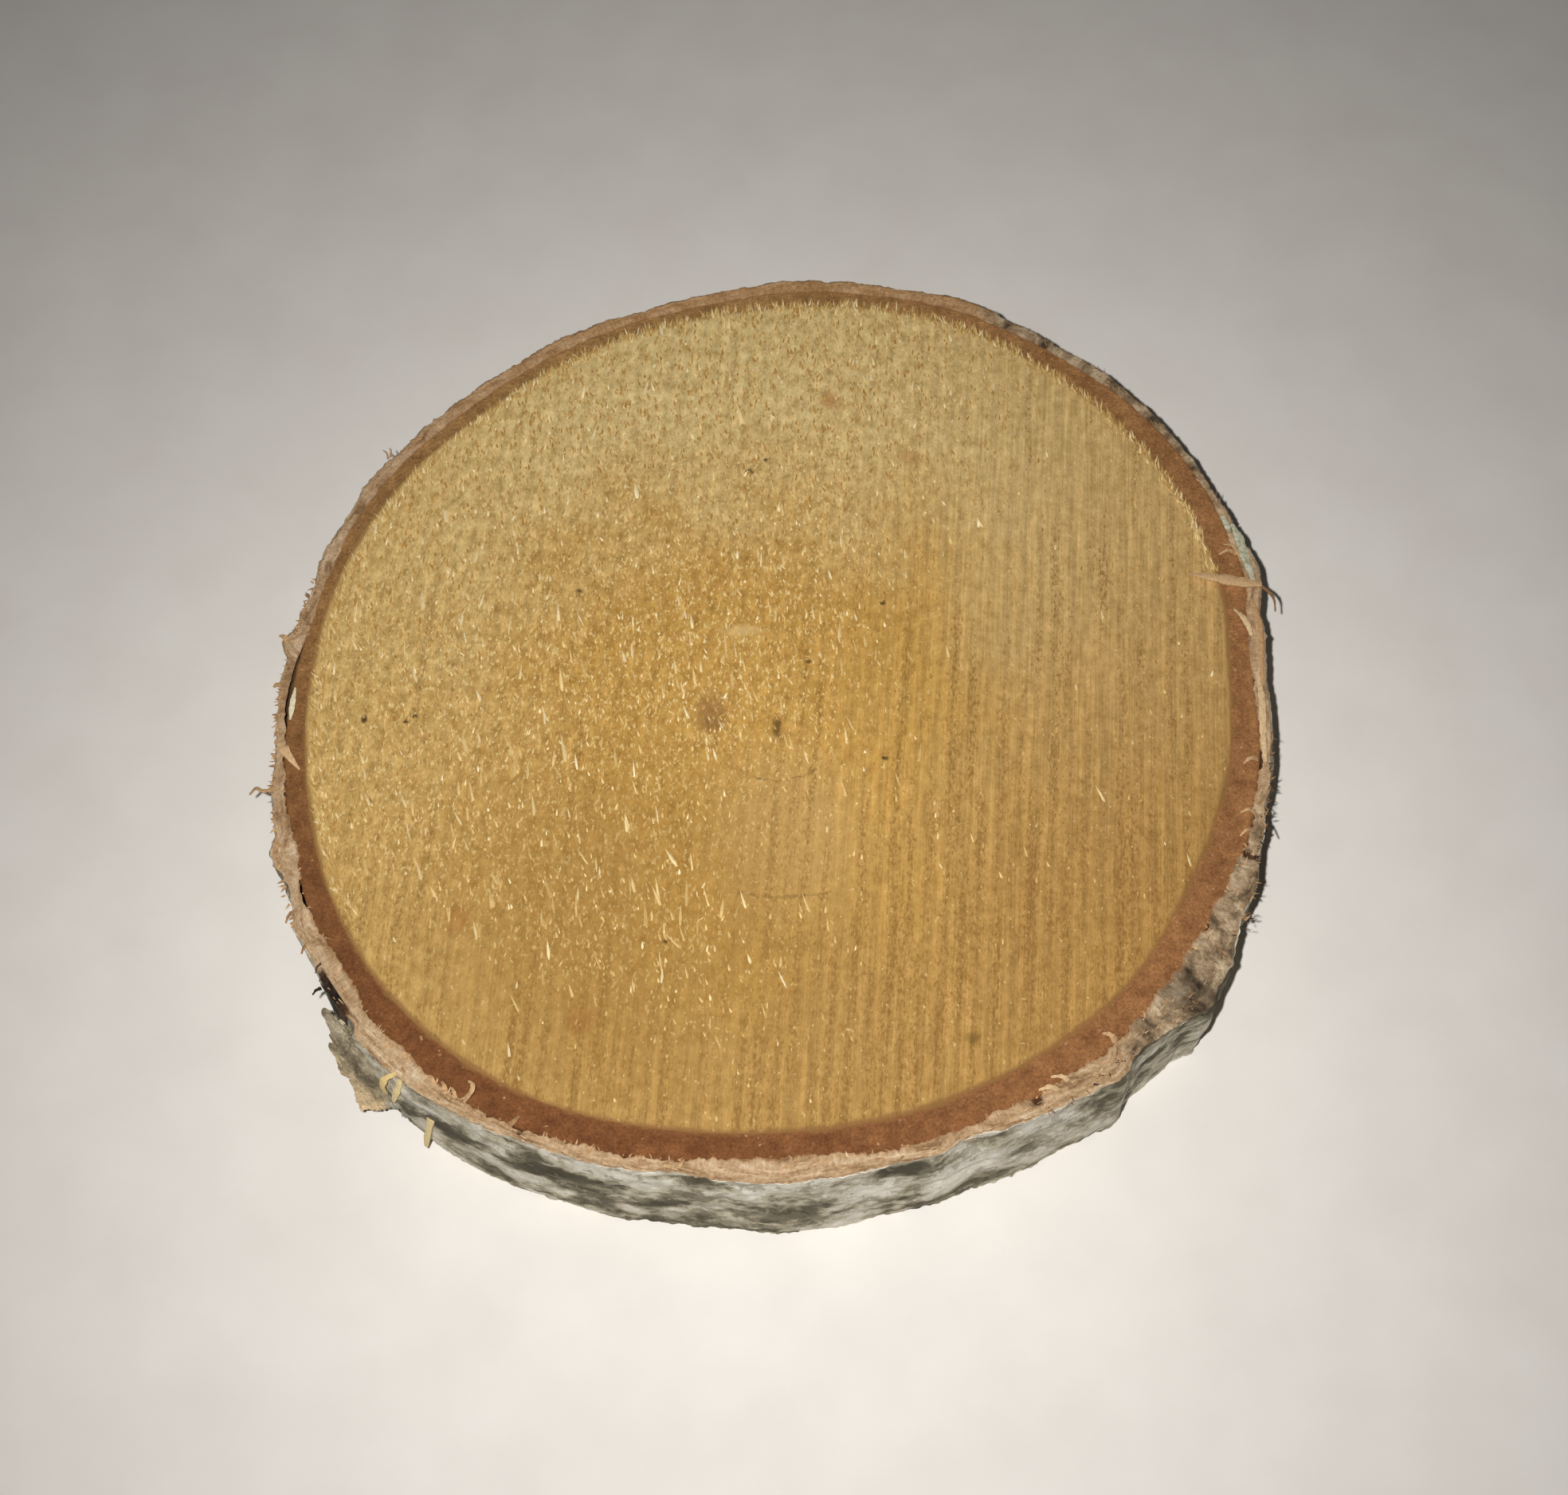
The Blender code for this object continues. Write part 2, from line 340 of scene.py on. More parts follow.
birch, tree = new_material("raw_sawn_birch")
place = add_node(tree, "TexCoord", out="Object")
sawn = add_node(tree, "Mapping", Vector=place, Rotation=(0, 0, SAW_TURN))
torn = add_node(tree, "Attribute", attribute_name="torn", out="Fac")
burnished = add_node(tree, "Attribute", attribute_name="burnished", out="Fac")
rim_gap = add_node(tree, "Attribute", attribute_name="rim_gap", out="Fac")
wobble = add_node(tree, "TexNoise", Vector=place, Scale=1 / (11 * MM), Detail=4.0)
heart_spot = add_node(tree, "Mapping", Vector=place, Location=(0.004, 0.002, 0), Scale=(1, 0.92, 0))
heart_far = add_node(tree, "VectorMath", operation="LENGTH", Vector=heart_spot, out="Value")
heart_rough = add_node(
    tree, "Math", operation="MULTIPLY_ADD", Value=wobble, Value_001=0.03, Value_002=heart_far)
heart = add_node(
    tree, "MapRange", interpolation_type="SMOOTHSTEP", Value=heart_rough, From_Min=0.026,
    From_Max=0.050, To_Min=1.0, To_Max=0.0)
split = add_node(tree, "SeparateXYZ", Vector=place, out="X").node
high = add_node(
    tree, "MapRange", interpolation_type="SMOOTHSTEP", Value=split.outputs["Y"], From_Min=-0.026,
    From_Max=0.034, To_Min=0.0, To_Max=1.0)
right = add_node(
    tree, "MapRange", interpolation_type="SMOOTHSTEP", Value=split.outputs["X"], From_Min=-0.004,
    From_Max=0.044, To_Min=0.0, To_Max=0.9)
left = add_node(
    tree, "MapRange", interpolation_type="SMOOTHSTEP", Value=split.outputs["X"], From_Min=-0.012,
    From_Max=-0.042, To_Min=0.0, To_Max=0.6)
ground = add_node(
    tree, "Mix", data_type="RGBA", Factor_Float=high, A_Color=linear("b38b4c"),
    B_Color=linear("dec183"))
ground = add_node(
    tree, "Mix", data_type="RGBA", Factor_Float=left, A_Color=ground, B_Color=linear("d2ac66"))
right_colour = add_node(
    tree, "Mix", data_type="RGBA", Factor_Float=high, A_Color=linear("b18648"),
    B_Color=linear("cfa96b"))
ground = add_node(
    tree, "Mix", data_type="RGBA", Factor_Float=right, A_Color=ground, B_Color=right_colour)
ground = add_node(
    tree, "Mix", data_type="RGBA", Factor_Float=heart, A_Color=ground, B_Color=linear("c0944a"))
ground = add_node(
    tree, "Mix", data_type="RGBA", Factor_Float=burnished, A_Color=ground,
    B_Color=linear("c49c5c"))

# Soft mottling from one millimetre down to the width of a fibre, ambered where dark
mottle_spot = add_node(
    tree, "Mapping", Vector=sawn, Scale=(1 / (1.0 * MM), 1 / (1.5 * MM), 1 / (1.5 * MM)))
mottle = add_node(tree, "TexNoise", Vector=mottle_spot, Scale=1.0, Detail=7.0, Roughness=0.74)
swing = add_node(
    tree, "MapRange", data_type="FLOAT_VECTOR", Vector=mottle, From_Min_FLOAT3=(0.3, 0.3, 0.3),
    From_Max_FLOAT3=(0.7, 0.7, 0.7), To_Min_FLOAT3=(0.58, 0.50, 0.32),
    To_Max_FLOAT3=(1.40, 1.48, 1.64))
amount = add_node(
    tree, "Math", operation="MULTIPLY_ADD", Value=torn, Value_001=0.38, Value_002=0.62)
amount = add_node(
    tree, "Math", operation="MULTIPLY_ADD", Value=burnished, Value_001=-0.45, Value_002=amount)
swing = add_node(
    tree, "Mix", data_type="RGBA", Factor_Float=amount, A_Color=(1, 1, 1, 1), B_Color=swing)
ground = add_node(tree, "VectorMath", operation="MULTIPLY", Vector=ground, Vector_001=swing)

# Fine lines that the teeth drew, and broader ones a tooth's set apart
fine_spot = add_node(tree, "Mapping", Vector=sawn, Scale=(1 / (0.22 * MM), 1 / (9 * MM), 200))
fine = add_node(tree, "TexNoise", Vector=fine_spot, Scale=1.0, Detail=3.0, Roughness=0.65)
fine_low = add_node(
    tree, "Math", operation="MULTIPLY_ADD", Value=torn, Value_001=0.12, Value_002=0.80)
fine_high = add_node(
    tree, "Math", operation="MULTIPLY_ADD", Value=torn, Value_001=-0.12, Value_002=1.20)
fine_tint = add_node(
    tree, "MapRange", Value=fine, From_Min=0.3, From_Max=0.7, To_Min=fine_low, To_Max=fine_high)
wave = add_node(
    tree, "TexWave", Vector=sawn, Scale=0.314 / (1.6 * MM), Distortion=2.0, Detail=2.0,
    Detail_Scale=0.6, out="Fac")
wave_tint = add_node(
    tree, "MapRange", Value=wave, From_Min=0.0, From_Max=1.0, To_Min=0.95, To_Max=1.05)
tint = add_node(tree, "Math", operation="MULTIPLY", Value=wave_tint, Value_001=fine_tint)
ground = add_node(tree, "VectorMath", operation="SCALE", Vector=ground, Scale=tint)

# Brown specks that gather in the saw's rows, and flecks of bright torn fibre
speck_spot = add_node(tree, "Mapping", Vector=sawn, Scale=(1 / (0.22 * MM), 1 / (0.5 * MM), 900))
speck = add_node(tree, "TexNoise", Vector=speck_spot, Scale=1.0, Detail=4.0, Roughness=0.7)
band_spot = add_node(tree, "Mapping", Vector=sawn, Scale=(1 / (1.5 * MM), 1 / (18 * MM), 50))
band = add_node(tree, "TexNoise", Vector=band_spot, Scale=1.0, Detail=3.0)
speck_sum = add_node(
    tree, "Math", operation="MULTIPLY_ADD", Value=band, Value_001=0.55, Value_002=speck)
speck_sum = add_node(
    tree, "Math", operation="MULTIPLY_ADD", Value=wave, Value_001=-0.07, Value_002=speck_sum)
speck_sum = add_node(
    tree, "Math", operation="MULTIPLY_ADD", Value=torn, Value_001=-0.06, Value_002=speck_sum)
speck_sum = add_node(
    tree, "Math", operation="MULTIPLY_ADD", Value=high, Value_001=-0.09, Value_002=speck_sum)
dark = add_node(
    tree, "MapRange", interpolation_type="SMOOTHSTEP", Value=speck_sum, From_Min=0.72,
    From_Max=0.94, To_Min=0.0, To_Max=0.7)
ground = add_node(
    tree, "Mix", data_type="RGBA", Factor_Float=dark, A_Color=ground, B_Color=linear("855c25"))
fleck_spot = add_node(tree, "Mapping", Vector=sawn, Scale=(1 / (0.26 * MM), 1 / (0.5 * MM), 700))
fleck = add_node(tree, "TexNoise", Vector=fleck_spot, Scale=1.0, Detail=2.0, Roughness=0.5)
fleck_sum = add_node(
    tree, "Math", operation="MULTIPLY_ADD", Value=torn, Value_001=0.10, Value_002=fleck)
bright = add_node(
    tree, "MapRange", interpolation_type="SMOOTHSTEP", Value=fleck_sum, From_Min=0.66,
    From_Max=0.78, To_Min=0.0, To_Max=0.8)
ground = add_node(
    tree, "Mix", data_type="RGBA", Factor_Float=bright, A_Color=ground, B_Color=linear("edcf8e"))

stained_sum = add_node(
    tree, "Math", operation="MULTIPLY_ADD", Value=mottle, Value_001=-1.2, Value_002=rim_gap)
stained_sum = add_node(
    tree, "Math", operation="MULTIPLY_ADD", Value=wobble, Value_001=-0.9, Value_002=stained_sum)
stained = add_node(
    tree, "MapRange", interpolation_type="SMOOTHSTEP", Value=stained_sum, From_Min=-1.0,
    From_Max=-0.5, To_Min=0.8, To_Max=0.0)
ground = add_node(
    tree, "Mix", data_type="RGBA", Factor_Float=stained, A_Color=ground, B_Color=linear("8a6035"))

stir = add_node(tree, "TexNoise", Vector=place, Scale=1 / (0.5 * MM), Detail=3.0, out="Color")
stir = add_node(
    tree, "VectorMath", operation="SUBTRACT", Vector=stir, Vector_001=(0.5, 0.5, 0.5))
stir = add_node(tree, "VectorMath", operation="SCALE", Vector=stir, Scale=0.7 * MM)
stirred = add_node(tree, "VectorMath", operation="ADD", Vector=place, Vector_001=stir)
for x, y, half_width, half_height, hex_code, strength in PITH_SPOTS:
    across, up = 1 / (half_width * MM), 1 / (half_height * MM)
    spot = add_node(
        tree, "Mapping", Vector=stirred, Location=(-x * MM * across, -y * MM * up, 0),
        Scale=(across, up, 0))
    far = add_node(tree, "VectorMath", operation="LENGTH", Vector=spot, out="Value")
    share = add_node(
        tree, "MapRange", interpolation_type="SMOOTHSTEP", Value=far, From_Min=0.25, From_Max=1.15,
        To_Min=strength, To_Max=0.0)
    ground = add_node(
        tree, "Mix", data_type="RGBA", Factor_Float=share, A_Color=ground,
        B_Color=linear(hex_code))
for x, y, radius, half_width in RING_ARCS:
    low_edge = math.cos(math.radians(half_width))
    spot = add_node(
        tree, "Mapping", Vector=stirred, Location=(-x * MM, -y * MM, 0), Scale=(1, 1, 0))
    far = add_node(tree, "VectorMath", operation="LENGTH", Vector=spot, out="Value")
    gap = add_node(tree, "Math", operation="SUBTRACT", Value=far, Value_001=radius * MM)
    gap = add_node(tree, "Math", operation="ABSOLUTE", Value=gap)
    below = add_node(tree, "SeparateXYZ", Vector=spot, out="Y")
    low_share = add_node(
        tree, "MapRange", Value=below, From_Min=-low_edge * radius * MM,
        From_Max=-(0.7 * low_edge + 0.3) * radius * MM, To_Min=0.0, To_Max=1.0)
    line = add_node(
        tree, "MapRange", interpolation_type="SMOOTHSTEP", Value=gap, From_Min=0.03 * MM,
        From_Max=0.22 * MM, To_Min=low_share, To_Max=0.0)
    dotted = add_node(
        tree, "MapRange", Value=mottle, From_Min=0.42, From_Max=0.62, To_Min=0.0, To_Max=0.6)
    line = add_node(tree, "Math", operation="MULTIPLY", Value=line, Value_001=dotted)
    ground = add_node(
        tree, "Mix", data_type="RGBA", Factor_Float=line, A_Color=ground, B_Color=linear("4a3915"))

rough_sum = add_node(tree, "Math", operation="ADD", Value=mottle, Value_001=fine)
rough_sum = add_node(tree, "Math", operation="ADD", Value=rough_sum, Value_001=fleck)
nap = add_node(tree, "Bump", Height=rough_sum, Strength=0.55, Distance=0.16 * MM)
surface = add_node(
    tree, "BsdfPrincipled", Base_Color=ground, Roughness=0.78, Specular_IOR_Level=0.25, Normal=nap)
add_node(tree, "OutputMaterial", Surface=surface)

finish_piece(disc, "wood_disc", birch)
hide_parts("wood")


# Torn wood fibres
# Slivers of the birch that the saw lifted but didn't take off. They lie along the blade's path,
# thickest at the left and the top, and a fringe of them hangs over the inner bark.
FINE_FIBRES = 8800
LONG_FIBRES = 520
FRINGE_FIBRES = 1900
dice = np.random.default_rng(11)

bpy.ops.object.select_all(action="DESELECT")
bpy.ops.mesh.primitive_cone_add(
    vertices=3, radius1=1.0, radius2=0.0, depth=1.0, location=(0, 0, 0.5), end_fill_type="TRIFAN")
sliver = bpy.context.object
bpy.ops.object.transform_apply(location=True, rotation=True, scale=True)
bpy.ops.object.mode_set(mode="EDIT")
bpy.ops.mesh.select_all(action="SELECT")
bpy.ops.mesh.bisect(plane_co=(0, 0, 0.5), plane_no=(0, 0, 1))
bpy.ops.mesh.quads_convert_to_tris()
bpy.ops.object.mode_set(mode="OBJECT")
sliver_points = get_points(sliver)
swell = np.where(abs(sliver_points[:, 2] - 0.5) < 0.1, 1.7, 1.0)
sliver_points[:, :2] *= swell[:, None]
sliver_faces = [tuple(face.vertices) for face in sliver.data.polygons]


def lay_slivers(rows):
    """One mesh of many slivers. A row is x, y, z, direction, length, width, rise and shade."""
    rows = np.array(rows)
    count = len(sliver_points)
    x, y, z, turn, length, width, rise, shade = (rows[:, i, None] for i in range(8))
    across = sliver_points[None, :, 0] * width / 2
    through = sliver_points[None, :, 1] * width / 4
    reach = sliver_points[None, :, 2] * length
    share = sliver_points[None, :, 2]
    lift = reach * np.tan(rise) * (1 - 0.55 * share) + through
    spots = np.stack([
        x + reach * np.cos(turn) - across * np.sin(turn),
        y + reach * np.sin(turn) + across * np.cos(turn),
        z + lift], axis=2).reshape(-1, 3)
    faces = [tuple(c + i * count for c in face) for i in range(len(rows)) for face in sliver_faces]
    mesh = bpy.data.meshes.new("slivers")
    mesh.from_pydata(spots.tolist(), [], faces)
    obj = bpy.data.objects.new("slivers", mesh)
    bpy.context.scene.collection.objects.link(obj)
    paint(obj, "shade", np.repeat(shade[:, 0], count))
    return obj


def blade_path(lean):
    """Direction of the blade on the upper face, turned by a lean in degrees."""
    return math.pi / 2 - SAW_TURN + np.radians(lean)


def scatter(count, likely):
    """Spots on the wood, more of them where likely(x, y) is nearer to one."""
    x, y = dice.uniform(-50, 50, (2, count * 12)) * MM
    inside = np.hypot(x, y) < wood_edge(np.arctan2(y, x), THICKNESS) - 0.4 * MM
    kept = np.flatnonzero(inside & (dice.random(count * 12) < likely(x, y)))[:count]
    return x[kept], y[kept]


def sliver_rows(x, y, z, lean, length, width, rise, shade):
    """Rows for lay_slivers. Lengths, widths, rises and shades are drawn between the limits given."""
    count = len(x)
    drawn = [dice.uniform(*limits, count) for limits in (length, width, rise, shade)]
    columns = (x, y, np.full(count, z), blade_path(lean), drawn[0] * MM, drawn[1] * MM)
    return np.stack(columns + (np.radians(drawn[2]), drawn[3]), axis=1)


def fine_likely(x, y):
    upper = 0.45 + 0.55 * smooth_step(y / MM, -40.0, 5.0)
    return (0.05 + 0.95 * torn_share(x, y)) * upper * (1 - 0.9 * burnished_share(x, y))


def long_likely(x, y):
    return (0.04 + 0.96 * torn_share(x, y)) * (1 - burnished_share(x, y))


x, y = scatter(FINE_FIBRES, fine_likely)
fine_rows = sliver_rows(
    x, y, THICKNESS - 0.02 * MM, dice.normal(8, 16, len(x)), (0.28, 0.75), (0.14, 0.30), (8, 36),
    (0.0, 1.0))
fine_rows[:, 7] **= 1.8
x, y = scatter(LONG_FIBRES, long_likely)
low = 1 - smooth_step(y / MM, -15.0, 20.0)
long_rows = sliver_rows(
    x, y, THICKNESS - 0.02 * MM, dice.normal(8 + 9 * low, 10), (0.7, 1.7), (0.18, 0.38), (5, 24),
    (0.55, 1.0))
long_rows[:, 4] *= 1 + 0.3 * low
long_rows[::9, 4:6] *= 1.4
angle = np.radians(dice.uniform(15, 212, FRINGE_FIBRES))
leftward = smooth_step(-np.cos(angle), 0.2, 0.9)
radius = wood_edge(angle, THICKNESS) - (0.7 * leftward + dice.uniform(0.0, 0.9, len(angle))) * MM
fringe_rows = sliver_rows(
    radius * np.cos(angle), radius * np.sin(angle), THICKNESS - 0.02 * MM,
    dice.normal(6 + 24 * smooth_step(angle, 2.4, 3.2), 16), (0.4, 1.25), (0.11, 0.24), (4, 24),
    (0.2, 1.0))
fibre_rows = np.concatenate([fine_rows, long_rows, fringe_rows])
fibres = lay_slivers(fibre_rows)
bpy.data.objects.remove(sliver)

# Birch fibre with nothing round it: cream to straw, a little shiny.
fibre_straw, tree = new_material("torn_birch_fibre")
shade = add_node(tree, "Attribute", attribute_name="shade", out="Fac")
straw = add_node(tree, "ValToRGB", Fac=shade, ramp=(
    (0.0, "b78a45"), (0.45, "cda560"), (0.85, "ecce8b"), (1.0, "ffeec0")))
place = add_node(tree, "TexCoord", out="Object")
strand = add_node(tree, "TexNoise", Vector=place, Scale=1 / (0.2 * MM), Detail=2.0)
tint = add_node(tree, "MapRange", Value=strand, From_Min=0.3, From_Max=0.7, To_Min=0.85, To_Max=1.1)
straw = add_node(tree, "VectorMath", operation="SCALE", Vector=straw, Scale=tint)
surface = add_node(
    tree, "BsdfPrincipled", Base_Color=straw, Roughness=0.6, Specular_IOR_Level=0.35)
add_node(tree, "OutputMaterial", Surface=surface)
finish_piece(fibres, "wood_fibres", fibre_straw, sharp=80)


# Inner bark
# The living bast between wood and bark, dried to reddish brown. It was sawn through with the wood,
# so its ends are level with it and as fine as cork.
RING_STEPS = 1200


def spin_profile(inside, outside, height, cuts, steps):
    """A flat upright rectangle whose sides are cut short, turned once round the axis into a
    ring. The cuts are those of its inner, outer, lower and upper side."""
    middle = (inside + outside) / 2
    bpy.ops.object.select_all(action="DESELECT")
    bpy.ops.mesh.primitive_plane_add(
        size=1, location=(middle, 0, height / 2), rotation=(math.pi / 2, 0, 0))
    ring = bpy.context.object
    ring.scale = (outside - inside, height, 1)
    bpy.ops.object.transform_apply(location=True, rotation=True, scale=True)
    sides = ((0, inside), (0, outside), (2, 0.0), (2, height))
    for (axis, place), count in zip(sides, cuts):
        mesh = ring.data
        for group in (mesh.vertices, mesh.polygons):
            group.foreach_set("select", np.zeros(len(group), dtype=bool))
        for edge in mesh.edges:
            ends = [mesh.vertices[i].co[axis] for i in edge.vertices]
            edge.select = all(abs(end - place) < 0.001 * MM for end in ends)
            for i in edge.vertices:
                mesh.vertices[i].select |= edge.select
        bpy.context.tool_settings.mesh_select_mode = (False, True, False)
        bpy.ops.object.mode_set(mode="EDIT")
        bpy.ops.mesh.subdivide(number_cuts=count)
        bpy.ops.object.mode_set(mode="OBJECT")
    bpy.ops.object.mode_set(mode="EDIT")
    bpy.ops.mesh.select_all(action="SELECT")
    bpy.ops.mesh.delete(type="ONLY_FACE")
    bpy.ops.object.mode_set(mode="OBJECT")
    turn = ring.modifiers.new("turn", "SCREW")
    turn.axis = "Z"
    turn.steps = steps
    turn.render_steps = steps
    turn.use_merge_vertices = True
    turn.merge_threshold = 0.001 * MM
    bpy.ops.object.modifier_apply(modifier=turn.name)
    bpy.ops.object.mode_set(mode="EDIT")
    bpy.ops.mesh.select_all(action="SELECT")
    bpy.ops.mesh.normals_make_consistent(inside=False)
    bpy.ops.object.mode_set(mode="OBJECT")
    return ring


def ring_walls(node, columns=720, rows=13):
    """Radii of a CAD ring's inner and outer wall, on a grid of angles and heights."""
    bpy.context.view_layer.update()
    tree = BVHTree.FromObject(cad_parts[node], bpy.context.evaluated_depsgraph_get())
    walls = np.zeros((2, rows, columns))
    for row in range(rows):
        height = THICKNESS * (0.03 + 0.94 * row / (rows - 1))
        for column in range(columns):
            angle = math.tau * column / columns
            ray = Vector((math.cos(angle), math.sin(angle), 0))
            start = ray * 40 * MM + Vector((0, 0, height))
            first = tree.ray_cast(start, ray)[0]
            second = tree.ray_cast(first + ray * 0.01 * MM, ray)[0]
            walls[:, row, column] = first.xy.length, second.xy.length
    return walls


def wall_radius(wall, angle, height):
    """Radius of a wall at any angle and height, between the measured ones."""
    rows, columns = wall.shape
    down = np.clip((height / THICKNESS - 0.03) / 0.94, 0, 1) * (rows - 1)
    turn = np.mod(angle, math.tau) / math.tau * columns
    row = np.minimum(down.astype(int), rows - 2)
    column = turn.astype(int) % columns
    following = (column + 1) % columns
    u = turn - np.floor(turn)
    v = down - row
    lower = wall[row, column] * (1 - u) + wall[row, following] * u
    upper = wall[row + 1, column] * (1 - u) + wall[row + 1, following] * u
    return lower * (1 - v) + upper * v


BAST_IN = 40 * MM
BAST_OUT = 50 * MM
bast = spin_profile(BAST_IN, BAST_OUT, THICKNESS, (5, 11, 7, 15), RING_STEPS)
bast_walls = ring_walls("inner_bark")
points = get_points(bast)
angle, radius = polar(points)
height = points[:, 2].copy()
share = (radius - BAST_IN) / (BAST_OUT - BAST_IN)
inner = wood_edge(angle, height) - 0.03 * MM
outer = wall_radius(bast_walls[1], angle, height) + 0.08 * MM
x, y = points[:, 0], points[:, 1]
crumb = grain_noise(x, y, height, 0.7 * MM, 0.7 * MM, 0.7 * MM, 5.0)
radius = inner + share * (outer - inner) + np.where(share > 0.99, 0.12 * crumb * MM, 0)
points[:, 0] = radius * np.cos(angle)
points[:, 1] = radius * np.sin(angle)
x, y = points[:, 0], points[:, 1]
pitted = grain_noise(x, y, height, 0.35 * MM, 0.35 * MM, MM, 21.0)
on_top = height > THICKNESS - 0.01 * MM
on_foot = height < 0.01 * MM
edge_fade = smooth_step(share, 0.0, 0.15)
points[:, 2] += np.where(on_top, (0.07 * pitted - 0.03) * MM * edge_fade, 0)
points[:, 2] += np.where(on_foot, 0.06 * abs(pitted) * MM * edge_fade, 0)
set_points(bast, points)
paint(bast, "outward", share)

# Bast of birch, dried and sawn: reddish brown and dull, granular like cork, with pale stone cells.
bast_brown, tree = new_material("dried_birch_bast")
place = add_node(tree, "TexCoord", out="Object")
outward = add_node(tree, "Attribute", attribute_name="outward", out="Fac")
split = add_node(tree, "SeparateXYZ", Vector=place, out="X").node
high = add_node(
    tree, "MapRange", interpolation_type="SMOOTHSTEP", Value=split.outputs["Y"], From_Min=-0.036,
    From_Max=0.040, To_Min=0.0, To_Max=1.0)
right = add_node(
    tree, "MapRange", interpolation_type="SMOOTHSTEP", Value=split.outputs["X"], From_Min=-0.01,
    From_Max=0.044, To_Min=0.0, To_Max=0.8)
brown = add_node(
    tree, "Mix", data_type="RGBA", Factor_Float=high, A_Color=linear("7c4e2c"),
    B_Color=linear("a57c4b"))
brown = add_node(
    tree, "Mix", data_type="RGBA", Factor_Float=right, A_Color=brown, B_Color=linear("a06f44"))
patches = add_node(tree, "TexNoise", Vector=place, Scale=1 / (1.6 * MM), Detail=8.0, Roughness=0.74)
patch_tint = add_node(
    tree, "MapRange", data_type="FLOAT_VECTOR", Vector=patches, From_Min_FLOAT3=(0.3, 0.3, 0.3),
    From_Max_FLOAT3=(0.7, 0.7, 0.7), To_Min_FLOAT3=(0.57, 0.50, 0.48),
    To_Max_FLOAT3=(1.44, 1.50, 1.52))
brown = add_node(tree, "VectorMath", operation="MULTIPLY", Vector=brown, Vector_001=patch_tint)
grains = add_node(tree, "TexNoise", Vector=place, Scale=1 / (0.26 * MM), Detail=4.0, Roughness=0.7)
grain_tint = add_node(
    tree, "MapRange", Value=grains, From_Min=0.3, From_Max=0.7, To_Min=0.66, To_Max=1.36)
brown = add_node(tree, "VectorMath", operation="SCALE", Vector=brown, Scale=grain_tint)
cells = add_node(tree, "TexNoise", Vector=place, Scale=1 / (0.55 * MM), Detail=2.0)
pale = add_node(
    tree, "MapRange", interpolation_type="SMOOTHSTEP", Value=cells, From_Min=0.69, From_Max=0.75,
    To_Min=0.0, To_Max=0.75)
brown = add_node(
    tree, "Mix", data_type="RGBA", Factor_Float=pale, A_Color=brown, B_Color=linear("c9a074"))
near_wood = add_node(
    tree, "Math", operation="MULTIPLY_ADD", Value=patches, Value_001=0.9, Value_002=outward)
woody = add_node(
    tree, "MapRange", interpolation_type="SMOOTHSTEP", Value=near_wood, From_Min=0.42,
    From_Max=0.56, To_Min=0.75, To_Max=0.0)
brown = add_node(
    tree, "Mix", data_type="RGBA", Factor_Float=woody, A_Color=brown, B_Color=linear("98703e"))
# Painted shade: the bast is darkened along its outer edge, where the raised cork beside it shades the
# gap between them
painted_gap_shade = add_node(
    tree, "MapRange", interpolation_type="SMOOTHSTEP", Value=outward, From_Min=0.88, From_Max=1.0,
    To_Min=0.0, To_Max=0.55)
brown = add_node(
    tree, "Mix", data_type="RGBA", Factor_Float=painted_gap_shade, A_Color=brown, B_Color=linear("55331c"))
rough_sum = add_node(tree, "Math", operation="ADD", Value=grains, Value_001=patches)
nap = add_node(tree, "Bump", Height=rough_sum, Strength=0.7, Distance=0.2 * MM)
surface = add_node(
    tree, "BsdfPrincipled", Base_Color=brown, Roughness=0.85, Specular_IOR_Level=0.2, Normal=nap)
add_node(tree, "OutputMaterial", Surface=surface)
finish_piece(bast, "inner_bark_ring", bast_brown)
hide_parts("inner_bark")


# Outer bark
# The rough bark of the branch, cork inside and a papery skin of birch outside. The saw left its rim
# crumbly, and it has dried away from the inner bark at the left.
RIM_PROUD = 0.3 * MM
# angle in degrees, half width in degrees, share: rims that weathered to grey or brown
WEATHERED = ((40, 26, 1.0), (58, 10, 0.4), (322, 20, 0.8), (337, 14, 0.5), (356, 12, 0.3))
# angle, half width in degrees, depth in mm, share of the rim that it crosses: cracks in the rim
CRACKS = ((338.8, 0.6, 0.9, 1.2), (300.3, 1.3, 0.7, 0.4), (243.4, 0.8, 0.6, 0.45))
